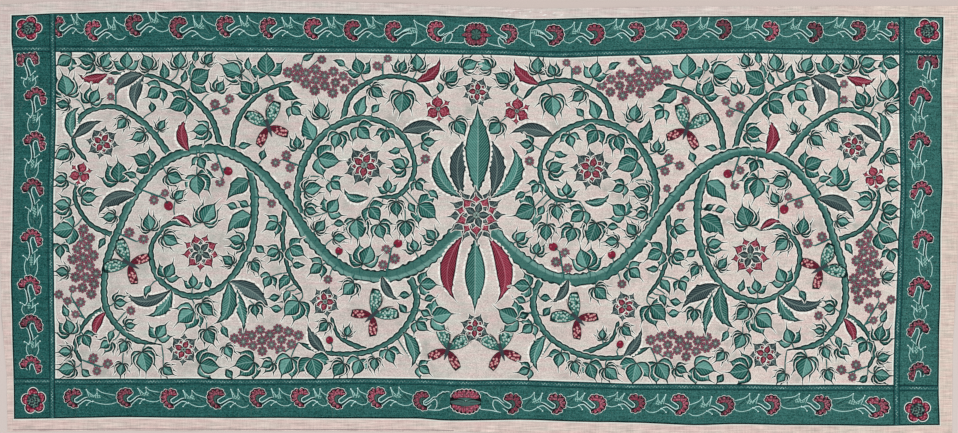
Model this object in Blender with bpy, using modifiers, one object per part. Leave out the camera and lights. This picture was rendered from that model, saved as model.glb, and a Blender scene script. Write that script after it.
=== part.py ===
"""Batik panel: one length of wax-drawn, dyed cotton, lying face up and flat on a surface.

Metres, +Z up. X runs along the cloth's length and +Y is the top of its design. The origin is under
the middle of the cloth, on the surface that it lies on.
"""

import math
from collections import namedtuple

import bpy

# Driving dimensions
CLOTH_LENGTH = 2.348
CLOTH_WIDTH = 1.060
SHEET_THICKNESS = 0.0012
CELLS_ALONG = 60
CELLS_ACROSS = 28

MM = 0.001

# The cut and woven edges aren't straight. Each row is a place along an edge, as a share of it from
# left to right or bottom to top, and how far the edge lies inside the nominal rectangle there.
Edge = namedtuple("Edge", "share inset_mm")

TOP_EDGE = [
    Edge(0.00, 14.0),
    Edge(0.06, 5.5),
    Edge(0.14, 2.0),
    Edge(0.21, 0.0),
    Edge(0.32, 4.5),
    Edge(0.42, 10.5),
    Edge(0.50, 18.0),
    Edge(0.55, 23.0),
    Edge(0.63, 21.5),
    Edge(0.73, 18.0),
    Edge(0.87, 18.0),
    Edge(1.00, 17.0),
]
BOTTOM_EDGE = [
    Edge(0.00, 6.5),
    Edge(0.15, 8.5),
    Edge(0.32, 7.5),
    Edge(0.45, 6.0),
    Edge(0.55, 3.5),
    Edge(0.66, 0.0),
    Edge(0.78, 2.5),
    Edge(0.90, 1.0),
    Edge(1.00, 2.5),
]
LEFT_EDGE = [
    Edge(0.00, 23.0),
    Edge(0.12, 21.5),
    Edge(0.21, 14.0),
    Edge(0.30, 8.0),
    Edge(0.50, 3.0),
    Edge(0.80, 0.0),
    Edge(1.00, 2.5),
]
RIGHT_EDGE = [
    Edge(0.00, 24.0),
    Edge(0.18, 23.0),
    Edge(0.30, 18.5),
    Edge(0.40, 11.0),
    Edge(0.60, 5.0),
    Edge(0.80, 2.5),
    Edge(1.00, 0.0),
]

# The cloth's folds, as soft ridges that lift it off the surface. Each runs from one point to
# another, in metres from the middle, and fades to nothing at its half width and past its ends.
Ridge = namedtuple("Ridge", "from_x from_y to_x to_y half_width_mm height_mm")

RIDGES = [
    # the old fold along the middle of the cloth
    Ridge(-1.20, -0.024, -0.60, -0.028, 62.0, 1.3),
    Ridge(0.62, -0.020, 1.20, -0.026, 62.0, 1.2),
    # ripples that run in from the top edge
    Ridge(-0.94, 0.56, -0.90, 0.47, 70.0, 1.7),
    Ridge(-0.21, 0.56, -0.19, 0.45, 58.0, 2.0),
    Ridge(0.34, 0.56, 0.37, 0.48, 76.0, 1.5),
    Ridge(0.88, 0.56, 0.85, 0.46, 64.0, 1.8),
    # ripples that run in from the bottom edge
    Ridge(-0.72, -0.56, -0.74, -0.47, 72.0, 1.7),
    Ridge(0.02, -0.56, 0.05, -0.48, 66.0, 1.4),
    Ridge(0.66, -0.56, 0.62, -0.46, 74.0, 1.9),
    # the left and right ends, puckered where the weft ends pull in
    Ridge(-1.20, -0.25, -1.08, -0.26, 60.0, 2.2),
    Ridge(-1.20, 0.22, -1.07, 0.20, 66.0, 1.6),
    Ridge(1.20, -0.23, 1.09, -0.22, 64.0, 1.9),
    Ridge(1.20, 0.27, 1.07, 0.28, 60.0, 1.6),
]


def read_edge(edge, share):
    """The inset in metres at a share of the edge, eased from one row of its table to the next."""
    for low, high in zip(edge, edge[1:]):
        if share <= high.share:
            part = max(share - low.share, 0.0) / (high.share - low.share)
            eased = part * part * (3.0 - 2.0 * part)
            return (low.inset_mm + (high.inset_mm - low.inset_mm) * eased) * MM
    return edge[-1].inset_mm * MM


def cloth_point(along, across):
    """Where a point of the cloth lies, from its shares of the length and of the width."""
    left = -CLOTH_LENGTH / 2 + read_edge(LEFT_EDGE, across)
    right = CLOTH_LENGTH / 2 - read_edge(RIGHT_EDGE, across)
    bottom = -CLOTH_WIDTH / 2 + read_edge(BOTTOM_EDGE, along)
    top = CLOTH_WIDTH / 2 - read_edge(TOP_EDGE, along)
    return left + (right - left) * along, bottom + (top - bottom) * across


def ridge_height(ridge, x, y):
    run_x = ridge.to_x - ridge.from_x
    run_y = ridge.to_y - ridge.from_y
    part = ((x - ridge.from_x) * run_x + (y - ridge.from_y) * run_y) / (run_x**2 + run_y**2)
    part = min(max(part, 0.0), 1.0)
    away = math.hypot(x - ridge.from_x - part * run_x, y - ridge.from_y - part * run_y)
    if away >= ridge.half_width_mm * MM:
        return 0.0
    return ridge.height_mm * MM * math.cos(0.5 * math.pi * away / (ridge.half_width_mm * MM)) ** 2


def lift(x, y):
    """How far the cloth's underside stands off the surface. It is exactly 0 away from the ridges."""
    return max(ridge_height(ridge, x, y) for ridge in RIDGES)


def shape_sheet(mesh):
    for vertex in mesh.vertices:
        x, y = cloth_point(vertex.co.x + 0.5, vertex.co.y + 0.5)
        vertex.co = (x, y, lift(x, y))
    xs = [vertex.co.x for vertex in mesh.vertices]
    ys = [vertex.co.y for vertex in mesh.vertices]
    middle_x = (min(xs) + max(xs)) / 2
    middle_y = (min(ys) + max(ys)) / 2
    for vertex in mesh.vertices:
        vertex.co.x -= middle_x
        vertex.co.y -= middle_y


def cotton_material():
    material = bpy.data.materials.new("dyed_cotton")
    material.use_nodes = True
    shader = material.node_tree.nodes["Principled BSDF"]
    shader.inputs["Base Color"].default_value = (0.33, 0.36, 0.31, 1.0)
    shader.inputs["Roughness"].default_value = 0.85
    shader.inputs["Metallic"].default_value = 0.0
    return material


def make_cloth(collection):
    bpy.ops.mesh.primitive_grid_add(x_subdivisions=CELLS_ALONG, y_subdivisions=CELLS_ACROSS, size=1.0)
    cloth = bpy.context.active_object
    cloth.name = "batik_cloth"
    cloth.data.name = "batik_cloth"
    shape_sheet(cloth.data)
    cloth.data.shade_smooth()
    cloth.data.materials.append(cotton_material())

    sheet = cloth.modifiers.new("sheet", "SOLIDIFY")
    sheet.thickness = SHEET_THICKNESS
    sheet.offset = 1.0

    for other in list(cloth.users_collection):
        other.objects.unlink(cloth)
    collection.objects.link(cloth)
    return cloth


def main():
    for old in list(bpy.data.objects):
        bpy.data.objects.remove(old)
    collection = bpy.data.collections.new("batik_panel")
    bpy.context.scene.collection.children.link(collection)
    make_cloth(collection)


main()
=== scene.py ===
# Looks of the batik panel: one sheet of wax-drawn, dyed cotton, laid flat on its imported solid.
# What is drawn on the cloth is in millimetres, x to the right and y up, from the cloth's middle.
import math
import random

import bpy
import numpy as np
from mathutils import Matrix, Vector
from mathutils.bvhtree import BVHTree
from mathutils.geometry import delaunay_2d_cdt, tessellate_polygon


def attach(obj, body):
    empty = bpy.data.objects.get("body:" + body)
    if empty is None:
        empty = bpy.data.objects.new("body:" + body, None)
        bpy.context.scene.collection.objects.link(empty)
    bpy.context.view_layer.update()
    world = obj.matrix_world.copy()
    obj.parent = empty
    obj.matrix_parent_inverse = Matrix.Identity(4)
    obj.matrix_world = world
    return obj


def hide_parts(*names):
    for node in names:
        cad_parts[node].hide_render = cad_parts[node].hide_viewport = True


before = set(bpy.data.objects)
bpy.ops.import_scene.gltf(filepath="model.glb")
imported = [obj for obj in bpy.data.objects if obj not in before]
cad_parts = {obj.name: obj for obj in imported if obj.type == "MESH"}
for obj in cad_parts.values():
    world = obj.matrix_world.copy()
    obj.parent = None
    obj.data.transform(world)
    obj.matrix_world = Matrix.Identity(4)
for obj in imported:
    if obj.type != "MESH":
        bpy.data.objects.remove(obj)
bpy.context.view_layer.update()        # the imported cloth, as a fixed frame
print("batik panel: frame loaded")

clothSettings = {
    "node": "batik_cloth",
    "slot": "dyed_cotton",
    "halfLength": 1174.0,      # the rectangle that the uneven edges lie inside
    "halfWidth": 530.0,
    "thickness": 0.6,
    "clearance": 0.05,         # between the underside and the floor
    "waver": 0.55,             # of the hand that drew the lines
    "waverFade": 60.0,         # how far inside the cut edge it has all of it
    "foldStep": 24.0,          # spacing of the points that carry the folds
    "edgeStep": 24.0,          # longest side of a straight outline
    "longestEdge": 26.0,       # and of one that is joined from shorter ones
    "faceSlack": 0.12,         # how far a line may move when points are left out of it
    "reverseSlack": 2.2,
    "mergeWithin": 0.004,      # points closer than this are one
    "leastSide": 0.05, "leastArea": 0.02,      # of an outline that is cut
}

# How far each edge lies inside the rectangle, at shares of its run from left to right or bottom to top
clothEdges = {
    "top": ([0, .06, .14, .21, .32, .42, .50, .55, .63, .73, .87, 1],
            [14, 5.5, 2, 0, 4.5, 10.5, 18, 23, 21.5, 18, 18, 17]),
    "bottom": ([0, .15, .32, .45, .55, .66, .78, .90, 1], [6.5, 8.5, 7.5, 6, 3.5, 0, 2.5, 1, 2.5]),
    "left": ([0, .12, .21, .30, .50, .80, 1], [23, 21.5, 14, 8, 3, 0, 2.5]),
    "right": ([0, .18, .30, .40, .60, .80, 1], [24, 23, 18.5, 11, 5, 2.5, 0]),
}

# The green band's outer and inner lines on a straight cloth
band = {
    "outer": {"left": -1139.0, "right": 1124.0, "bottom": -498.0, "top": 491.0},
    "inner": {"left": -1035.0, "right": 1016.0, "bottom": -401.0, "top": 397.0},
}

# How far the drawn lines wander from straight: places along a line, and the shift up or to the right
lineShifts = {
    "outerTop": ([-1133, -1023, -853, -682, -438, -195, 0, 122, 317, 536, 850, 1125],
                 [0, 5, 8, 9.8, 5.3, 1, -3.5, -9, -6.5, -2, -2.3, -4.5]),
    "innerTop": ([-1035, -585, -24, 195, 390, 585, 1011], [3.5, 3, -2, -10.5, -4, 0, -4]),
    "innerBottom": ([-1035, -610, -195, 0, 512, 999], [6.5, 5.8, 7, 3.2, -7.2, -9.5]),
    "outerBottom": ([-1133, -853, -610, -317, -158, -73, 97, 317, 365, 536, 621, 755, 974, 1116],
                    [5, 8.5, 7, 6, 6, 0, 2.5, -3.5, -4.5, -10.5, -7.5, -10.5, -12, -10.5]),
    "outerLeft": ([-491, -276, -167, 4, 162, 381, 430, 479], [3.5, 0, -3.5, 0, 2.5, 2.5, -2.5, -2.5]),
    "innerLeft": ([-400, -300, -200, -60, 20, 150, 240, 310, 400],
                  [1, 1, -2.5, -3.5, -4, 0.5, 3.2, 3.5, 1.5]),
    "innerRight": ([-350, -276, -200, -57, 16, 89, 162, 235, 381], [-8.4, -6, -2.5, 2, 6, 9, 7.7, 5.2, 4]),
    "outerRight": ([-505, -398, -300, -177, -33, 101, 175, 283, 486],
                   [-3.5, -6, -6, -2.5, -1, 3.5, 1, 1, 6]),
}

# Soft folds that lift the cloth: from a point to a point, half width and height
foldRows = [
    (-1200, -24, -600, -28, 62, 1.3),      # the old fold along the middle
    (620, -20, 1200, -26, 62, 1.2),
    (-940, 560, -900, 470, 70, 1.7),       # ripples in from the top edge
    (-210, 560, -190, 450, 58, 2.0),
    (340, 560, 370, 480, 76, 1.5),
    (880, 560, 850, 460, 64, 1.8),
    (-720, -560, -740, -470, 72, 1.7),     # and from the bottom edge
    (20, -560, 50, -480, 66, 1.4),
    (660, -560, 620, -460, 74, 1.9),
    (-1200, -250, -1080, -260, 60, 2.2),   # puckers at the two ends
    (-1200, 220, -1070, 200, 66, 1.6),
    (1200, -230, 1090, -220, 64, 1.9),
    (1200, 270, 1070, 280, 60, 1.6),
]

# Fine creases, as sharp soft ridges, in the same columns
creaseRows = [
    (-1174, -20, -1090, -24, 8, 0.55),     # the old fold line, at both ends
    (1085, -24, 1174, -22, 7, 0.55),
    (-1174, -254, -1118, -250, 8, 0.6),    # left margin
    (-1174, -274, -1146, -271, 7, 0.5),
    (1134, 469, 1174, 467, 7, 0.45),       # right margin
    (1134, 366, 1162, 363, 7, 0.4),
    (1142, 190, 1174, 189, 7, 0.5),
    (1128, -315, 1168, -318, 7, 0.45),
    (1130, -388, 1166, -384, 7, 0.45),
    (-290, 526, -284, 500, 8, 0.5),        # top margin
    (-222, 528, -217, 488, 6, 0.55),
    (-208, 528, -200, 484, 6, 0.55),
    (-177, 526, -174, 494, 6, 0.5),
    (70, 504, 74, 482, 8, 0.5),
    (-797, -500, -791, -528, 7, 0.5),      # bottom margin
    (-390, -290, -219, -292, 6, 0.3),      # and two in the field
    (548, 230, 592, 248, 8, 0.45),
]


def readTable(places, values, at):
    # a table read between its rows, with no corners
    places, values = np.asarray(places, float), np.asarray(values, float)
    row = np.clip(np.searchsorted(places, at, side="right") - 1, 0, len(places) - 2)
    part = np.clip((at - places[row]) / (places[row + 1] - places[row]), 0, 1)
    return values[row] + (values[row + 1] - values[row]) * part * part * (3 - 2 * part)


def readEdge(side, share):
    return readTable(*clothEdges[side], share)


def readShift(line, at):
    return readTable(*lineShifts[line], at)


def between(lines, shifts, at):
    # the shift at a place between lines, each of which has its own shift
    found = np.array(shifts[0], float)
    for low, high, before, after in zip(lines, lines[1:], shifts, shifts[1:]):
        part = np.clip((at - low) / (high - low), 0, 1)
        found = found + (after - before) * part
    return found


def onCloth(points):
    # a flat drawing's points on the real cloth, whose edges and lines wander
    found = []
    # the hand's own waver, which dies away at the cut edges
    (x, y), outer, inner = points.T, band["outer"], band["inner"]
    wide, high = clothSettings["halfLength"], clothSettings["halfWidth"]
    inside = np.clip(np.minimum(wide - np.abs(x), high - np.abs(y)) / clothSettings["waverFade"], 0, 1)
    waverX = np.sin(x / 47 + y / 83) + 0.7 * np.sin(y / 29 - x / 151 + 1.1) + 0.5 * np.sin(x / 19 + 2.3)
    waverY = np.sin(y / 41 - x / 67 + 0.6) + 0.7 * np.sin(x / 31 + y / 129 + 2.0) + 0.5 * np.sin(y / 17 + 0.4)
    for at, other, reach, otherReach, low, up, waver in ((x, y, wide, high, "left", "right", waverX),
                                                         (y, x, high, wide, "bottom", "top", waverY)):
        share = (other + otherReach) / (2 * otherReach)
        rows = [-reach, outer[low], inner[low], inner[up], outer[up], reach]
        shifts = [readShift(line, other) for line in ("outer" + low.title(), "inner" + low.title(),
                                                      "inner" + up.title(), "outer" + up.title())]
        shifts = [readEdge(low, share), *shifts, -readEdge(up, share)]
        found.append(at + between(rows, shifts, at) + clothSettings["waver"] * inside * waver)
    return np.stack(found, 1)


def foldHeight(points, rows=foldRows):
    # how far the folds lift the cloth, and 0 where it lies flat
    lift = np.zeros(len(points))
    for fromX, fromY, toX, toY, halfWidth, height in rows:
        start, run = np.array([fromX, fromY], float), np.array([toX - fromX, toY - fromY], float)
        part = np.clip((points - start) @ run / (run @ run), 0, 1)
        away = np.linalg.norm(points - start - part[:, None] * run, axis=1)
        lift = np.maximum(lift, height * np.cos(np.clip(away / halfWidth, 0, 1) * math.pi / 2) ** 2)
    return lift


# Every patch of dye, lowest first. A patch is small faces on the flat cloth, the dye that fills them,
# and a way to read where a point lies in its motif, which the dye's own pattern follows.
patches = []


def layPatch(dye, faces, reader, seed):
    patches.append({"dye": dye, "faces": faces, "reader": reader, "seed": seed})


def smoothCurve(points, step):
    # a curve through given points, read about every step
    points = np.asarray(points, float)
    ends = np.vstack([2 * points[0] - points[1], points, 2 * points[-1] - points[-2]])
    found = []
    for i in range(len(points) - 1):
        a, b, c, d = ends[i:i + 4]
        count = max(1, round(np.linalg.norm(c - b) / step))
        t = np.arange(count)[:, None] / count
        found.append(0.5 * (2 * b + (c - a) * t + (2 * a - 5 * b + 4 * c - d) * t ** 2
                            + (3 * b - a - 3 * c + d) * t ** 3))
    return np.vstack(found + [points[-1:]])


def runLength(spine):
    return np.concatenate([[0], np.cumsum(np.linalg.norm(np.diff(spine, axis=0), axis=1))])


def readLine(at, run, line):
    # the line's points at places along its run
    return np.stack([np.interp(at, run, line[:, 0]), np.interp(at, run, line[:, 1])], 1)


def sideways(spine):
    # the direction to the left of a line, at each of its points
    along = np.gradient(spine, axis=0)
    along /= np.maximum(np.linalg.norm(along, axis=1), 1e-9)[:, None]
    return np.stack([-along[:, 1], along[:, 0]], 1)


def spineReader(spine, half, side=0):
    # reads points as distance along a line, distance to its left, and the half width there.
    # A patch that lies all on one side says which.
    run = runLength(spine)
    start, step = spine[:-1], np.diff(spine, axis=0)
    square = np.maximum((step * step).sum(1), 1e-9)

    def read(points):
        offset = points[:, None, :] - start[None]
        part = np.clip((offset * step[None]).sum(2) / square[None], 0, 1)
        away = offset - part[:, :, None] * step[None]
        near = np.argmin((away * away).sum(2), axis=1)
        pick = np.arange(len(points))
        share = part[pick, near]
        foot = away[pick, near]
        turn = side or np.sign(step[near, 0] * foot[:, 1] - step[near, 1] * foot[:, 0])
        along = run[near] + share * (run[near + 1] - run[near])
        width = half[near] + share * (half[near + 1] - half[near])
        return np.stack([along, turn * np.linalg.norm(foot, axis=1), width], 1)

    return read


def centreReader(x, y, turn, radius):
    # reads points as x and y from a motif's middle, turned with it, and its radius
    c, s = math.cos(turn), math.sin(turn)

    def read(points):
        dx, dy = points[:, 0] - x, points[:, 1] - y
        return np.stack([c * dx + s * dy, c * dy - s * dx, np.full(len(points), radius)], 1)

    return read


def stripFaces(spine, half):
    # the faces of a strip, four corners each, and three where it comes to a point
    left, right = spine + sideways(spine) * half[:, None], spine - sideways(spine) * half[:, None]
    return [np.array([right[i], right[i + 1], left[i + 1], left[i]]) for i in range(len(spine) - 1)]


def layStrip(dye, spine, half, seed, readHalf=None):
    spine, half = np.asarray(spine, float), np.asarray(half, float)
    layPatch(dye, stripFaces(spine, half), spineReader(spine, half if readHalf is None else readHalf), seed)


def layStroke(dye, points, width, seed, step=7.0, taper=0.35):
    # one line of the wax pen, thinner at its ends
    spine = smoothCurve(points, step)
    share = runLength(spine) / max(runLength(spine)[-1], 1e-9)
    ends = np.clip(np.minimum(share, 1 - share) / 0.18, 0, 1)
    layStrip(dye, spine, width / 2 * (taper + (1 - taper) * ends), seed)


def layShape(dye, outline, reader, seed):
    layPatch(dye, [np.asarray(outline, float)], reader, seed)


def placed(spot, points):
    # a motif's own points on the cloth. A spot has x, y, turn, size and flip.
    points = np.array(points, float).reshape(-1, 2) * spot["size"]
    if spot["flip"]:
        points = points * (1, -1)
    c, s = math.cos(spot["turn"]), math.sin(spot["turn"])
    return points @ np.array([[c, s], [-s, c]]) + (spot["x"], spot["y"])


def spotAt(x, y, turn=0.0, size=1.0, flip=False):
    return {"x": x, "y": y, "turn": turn, "size": size, "flip": flip}


def towards(turn):
    return np.array([math.cos(turn), math.sin(turn)])


def turned(spot, turn, **changes):
    # the same spot, turned further on
    return dict(spot, turn=spot["turn"] + (-turn if spot["flip"] else turn), **changes)


def spotReader(spot, radius):
    return centreReader(spot["x"], spot["y"], spot["turn"], radius * spot["size"])


def arcPoints(radius, start, stop, count, x=0.0, y=0.0):
    angles = np.radians(np.linspace(start, stop, count))
    return np.stack([x + radius * np.cos(angles), y + radius * np.sin(angles)], 1)


chance = random.Random(7)

# The cloth's ground, the band and its lines
ground = {
    "waxLine": 3.2,        # the undyed line beside the band
    "darkLine": 3.6,       # the band's dark edge
    "stripe": 15.5,        # the narrow stripe along the band's inner edge, with its two dark lines
    "stripeEnds": 2.0,     # how far it stops short of the band's edge
    "selvedge": {"inset": 4.0, "from": -1144.0, "to": -60.0, "width": 1.4},
    "drops": {"count": 16, "left": 50, "right": 200, "bottom": 502, "top": 521, "least": 0.9, "most": 1.9},
}


def straight(x0, y0, x1, y1):
    count = max(2, 1 + math.ceil(math.hypot(x1 - x0, y1 - y0) / clothSettings["edgeStep"]))
    return np.stack([np.linspace(x0, x1, count), np.linspace(y0, y1, count)], 1)


def rectangle(left, right, bottom, top):
    sides = [straight(left, bottom, right, bottom), straight(right, bottom, right, top),
             straight(right, top, left, top), straight(left, top, left, bottom)]
    return np.vstack([side[:-1] for side in sides])


def layLine(dye, x0, y0, x1, y1, width, seed):
    spine = straight(x0, y0, x1, y1)
    layStrip(dye, spine, np.full(len(spine), width / 2), seed)


def layFrame(dye, lines, grow, width, seed):
    # a line round a rectangle, its middle line grown outwards by grow
    left, right = lines["left"] - grow, lines["right"] + grow
    bottom, top, over = lines["bottom"] - grow, lines["top"] + grow, width / 2
    sides = ((left - over, bottom, right + over, bottom), (right, bottom, right, top),
             (right + over, top, left - over, top), (left, top, left, bottom))
    for number, side in enumerate(sides):
        layLine(dye, *side, width, seed + 0.1 * number)


def layGround():
    wide, high = clothSettings["halfLength"], clothSettings["halfWidth"]
    whole, waxLine = centreReader(0, 0, 0, wide), ground["waxLine"]
    layShape("margin", rectangle(-wide, wide, -high, high), whole, 0.1)
    thread = ground["selvedge"]
    low = thread["inset"] - high
    layLine("selvedge", thread["from"], low, thread["to"], low, thread["width"], 0.3)
    layShape("field", rectangle(**band["inner"]), whole, 0.2)
    layFrame("waxEdge", band["inner"], -waxLine / 2, waxLine, 0.8)


def layBand():
    # four strips round the field, over whatever grows past its edge
    outer, inner = band["outer"], band["inner"]
    waxLine, darkLine = ground["waxLine"], ground["darkLine"]
    layFrame("waxEdge", outer, waxLine / 2, waxLine, 0.2)
    strips = [dict(outer, bottom=inner["top"]), dict(outer, top=inner["bottom"]),
              dict(inner, left=outer["left"], right=inner["left"]),
              dict(inner, left=inner["right"], right=outer["right"])]
    reader = centreReader(0, 0, 0, clothSettings["halfLength"])
    layPatch("bandGreen", [rectangle(**strip) for strip in strips], reader, 0.4)
    layFrame("dark", outer, -darkLine / 2, darkLine, 0.5)


# The band's running flower: a scalloped fan on a curling stem, drawn two ways. In each the fan opens to
# the right, its outer and inner arcs run counter-clockwise and back, and the curl closes its heart.
fans = {
    "bumps": 10, "phases": (0, 0.2, 0.5, 0.8),      # the points of each bump, as shares of it
    "notch": 8.8, "waxWidth": 1.4, "waxNotch": 3.0, "blackNotch": 2.2,
    "cuts": (0.3, 0.7),        # where a parted fan's three lobes meet, as shares of its outer arc
    "cutDepth": 5.0,
    "reach": 24.0,             # of a fan from its middle
    "curlWidth": 2.6, "partingWidth": 3.4,
    "redInset": 2.3,           # how far the red lies inside the outline
    "leastSize": (0.92, 0.93), "partedShare": (0.35, 0.7),      # in the level and in the upright bands
    "sway": 0.10,              # of a flower, in radians
    "rise": (0.88, 1.06),      # of the lines past it
    "dotRadius": 1.7,          # the drop of wax where a line starts
    "lineWidth": 1.52,
    "stemEnd": 28.0,           # where the stem of a last fan meets the lines of the middle flower
}
fanShapes = {
    "spray": {
        "high": 0.94, "trim": 2,
        "outer": [(21, 6), (23, 13), (20, 21), (11, 26.5), (-1, 27), (-12, 23), (-19.5, 14), (-22, 3),
                  (-20, -9),
                  (-13, -19), (-3, -26), (6, -28.5), (14, -26), (17, -19)],
        "inner": [(12, -16), (5, -13.5), (-2, -9), (-4.5, -1), (-2, 6), (4, 9), (11, 7.5), (17, 4)],
        "curl": [(13, 4), (8, 3), (4, 0), (2.5, -5), (5, -10)],
    },
    "bud": {
        "high": 1.0,
        "outer": [(23, 12), (28, 17), (27, 24), (20, 29), (8, 29.5), (-3, 26), (-11, 19), (-17, 10), (-20, 0),
                  (-17, -11), (-10, -20), (-2, -27), (6, -29.5), (14, -26), (17, -18)],
        "inner": [(14, -12), (6, -10), (-1, -6), (-3.5, 1), (-1, 8), (7, 10), (17, 10)],
        "curl": [(13, 8), (6, 6.5), (1.5, 4), (1, -1), (6, -5)],
    },
    "twin": {
        "high": 0.98, "cuts": (0.40, 0.60), "trim": 1,
        "outer": [(14, 10), (19, 11), (23, 17), (21, 25), (13, 29), (2, 28.5), (-8, 26), (-14, 19),
                  (-13, 11), (-10, 5),
                  (-10.5, 0), (-10, -5), (-13, -11), (-14, -19), (-8, -26), (2, -28.5), (13, -29),
                  (21, -25), (23, -17),
                  (19, -11), (14, -10)],
        "inner": [(14, -8), (5, -9), (0, -5), (-2, 0), (0, 5), (5, 9), (14, 8)],
        "curl": [(12, 6), (6, 5), (2, 2), (2, -2), (6, -5)],
        # dull, between its two lobes
        "bridge": [(-10, 6), (0, 7), (-2, 0), (0, -7), (-10, -6), (-10.5, 0)],
    },
}

# The wax pen's lines past each fan: dye, width and the points passed. What lies beyond "stretchFrom" is
# stretched, so that it ends at the next flower's back.
unitDrawings = {
    "spray": {
        "stretchFrom": 42.0, "reach": 79.0, "back": 20.0, "high": 0.94,
        "stem": [
            ("black", 1.5, [(5, -11), (9, -15), (15, -15.5), (22, -10.5), (30, -4), (37, 0), (42, 0.5)]),
            ("waxTeal", 1.15, [(22, 9), (13, 2.5), (6, -3), (7, -10), (13, -12), (22, -6), (31, 1), (40, 4)]),
            ("waxTeal", 1.05, [(15, -22), (20, -17), (27, -10.5), (35, -5), (43, -6), (48, -10.5)]),
        ],
        "lines": [
            ("teal", 1.0, [(43, 3), (40, 15), (36, 31)]), ("teal", 0.9, [(36, 31), (41, 18), (49, 8)]),
            ("teal", 0.9, [(49, 8), (53, 18), (53, 33)]),
            ("teal", 0.95, [(53, 33), (59, 22), (68, 16), (77, 12)]),
            ("teal", 1.0, [(48, -10.5), (43, -15), (38, -19)]),
            ("teal", 0.95, [(48, -10.5), (54, -17), (64, -22), (73, -20), (79, -13)]),
            ("dark", 0.9, [(61, 14), (66, 5), (72, -4)]), ("bandVein", 0.9, [(58, 9), (63, 1), (69, -8)]),
            ("bandVein", 0.9, [(66, 12), (70, 5), (75, -2)]),
            ("bandVein", 0.8, [(52, -8), (60, -8), (68, -12)]),
        ],
        "dots": [(36, 31), (53, 33), (48, -10.5), (38, -19)],
        "leaf": [(42, 14), (45, 5), (51, 1), (58, 2), (58, 9), (54, 19), (49, 8)],
    },
    "bud": {
        "stretchFrom": 48.0, "reach": 103.0, "back": 18.0, "high": 1.0,
        "stem": [
            ("black", 1.7, [(2, -5), (8, -8), (16, -6.5), (28, -4.5), (40, -1.5), (52, -1)]),
            ("waxTeal", 1.05, [(14, -13), (20, -8.5), (29, -6.5), (45, -4), (57, -6.5), (62, -10)]),
            ("waxTeal", 1.15, [(25, 15), (15, 10), (5, 7), (3, 1), (9, -2.5), (20, -2.5), (35, 2), (47, 3)]),
        ],
        "lines": [
            ("teal", 1.0, [(62, -10), (57, -14), (52, -21)]), ("teal", 1.0, [(47, 3), (42, 9), (37, 15)]),
            ("teal", 0.95, [(60, -13), (69, -16), (82, -17.5), (96, -14.5), (103, -10)]),
            ("teal", 0.9, [(46, 9.5), (61, 9.5), (75, 7)]), ("teal", 1.1, [(52, 22), (62, 13), (75, 7)]),
            ("teal", 0.95, [(58, 17), (66, 15.5), (82, 17), (96, 13), (103, 9)]),
            ("bandVein", 0.9, [(91, 3.5), (85, 7), (79, 12.5)]),
            ("bandVein", 0.9, [(70, -10), (79, -11.5), (90, -8)]),
            ("bandVein", 0.9, [(72, -2), (82, -5), (93, -3)]), ("dark", 0.9, [(78, -8), (84, -2), (92, -1)]),
        ],
        "dots": [(52, -21), (62, -10), (37, 15), (52, 22)],
        "leaf": [(50, 0), (57, -5), (67, -4.5), (79, 0), (67, 5), (57, 4.5)],
    },
    "gate": {
        "stretchFrom": 62.0, "reach": 84.0, "back": 21.0, "high": 0.94,
        "stem": [
            ("black", 1.6, [(5, -11), (9, -14), (16, -13), (25, -5), (36, 0), (46, 3)]),
            ("waxTeal", 1.15, [(21, 9), (12, 2), (5, -4), (7, -10), (14, -9.5), (24, -0.5), (34, 5.5),
                               (44, 8.5)]),
            ("waxTeal", 1.05, [(15, -22), (20, -16), (28, -8.5), (38, -3.5), (50, -3)]),
        ],
        "lines": [
            ("teal", 1.15, [(52, 32), (60, 26), (73, 20.5), (84, 14)]),
            ("teal", 1.0, [(52, 32), (56, 20), (60.5, 10)]),
            ("teal", 1.0, [(60.5, 10), (61, -6), (60, -22)]), ("teal", 1.1, [(60, -22), (51, -32)]),
            ("teal", 1.15, [(51, -32), (65, -25), (84, -13)]),
            ("bandVein", 0.9, [(63, 8), (72, -2), (80, -8)]),
            ("bandVein", 0.9, [(64, 14), (74, 8), (82, 2)]),
            ("teal", 0.9, [(26, 2), (36, 9), (50, 11.5), (60, 9)]),
        ],
        "dots": [(52, 32), (51, -32)],
        "leaf": [(26, 1), (38, 6), (50, 8), (61, 5), (60, 0), (50, -2), (38, -2)],
    },
}


def scalloped(points, grow, notch, bumps, power=1.0, cuts=()):
    # an arc drawn counter-clockwise, swollen outwards by grow, cut by notches and dipped at the cuts
    curve = smoothCurve(points, 3.0)
    at = np.append(((np.arange(bumps)[:, None] + fans["phases"]) / bumps).ravel(), 1.0)
    spine = readLine(at, runLength(curve) / runLength(curve)[-1], curve)
    swell = grow - notch * (1 - np.abs(np.sin(math.pi * bumps * at)) ** power)
    for cut in cuts:
        swell = swell - fans["cutDepth"] * np.exp(-((at - cut) / 0.025) ** 2)
    return spine - sideways(spine) * swell[:, None]


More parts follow.
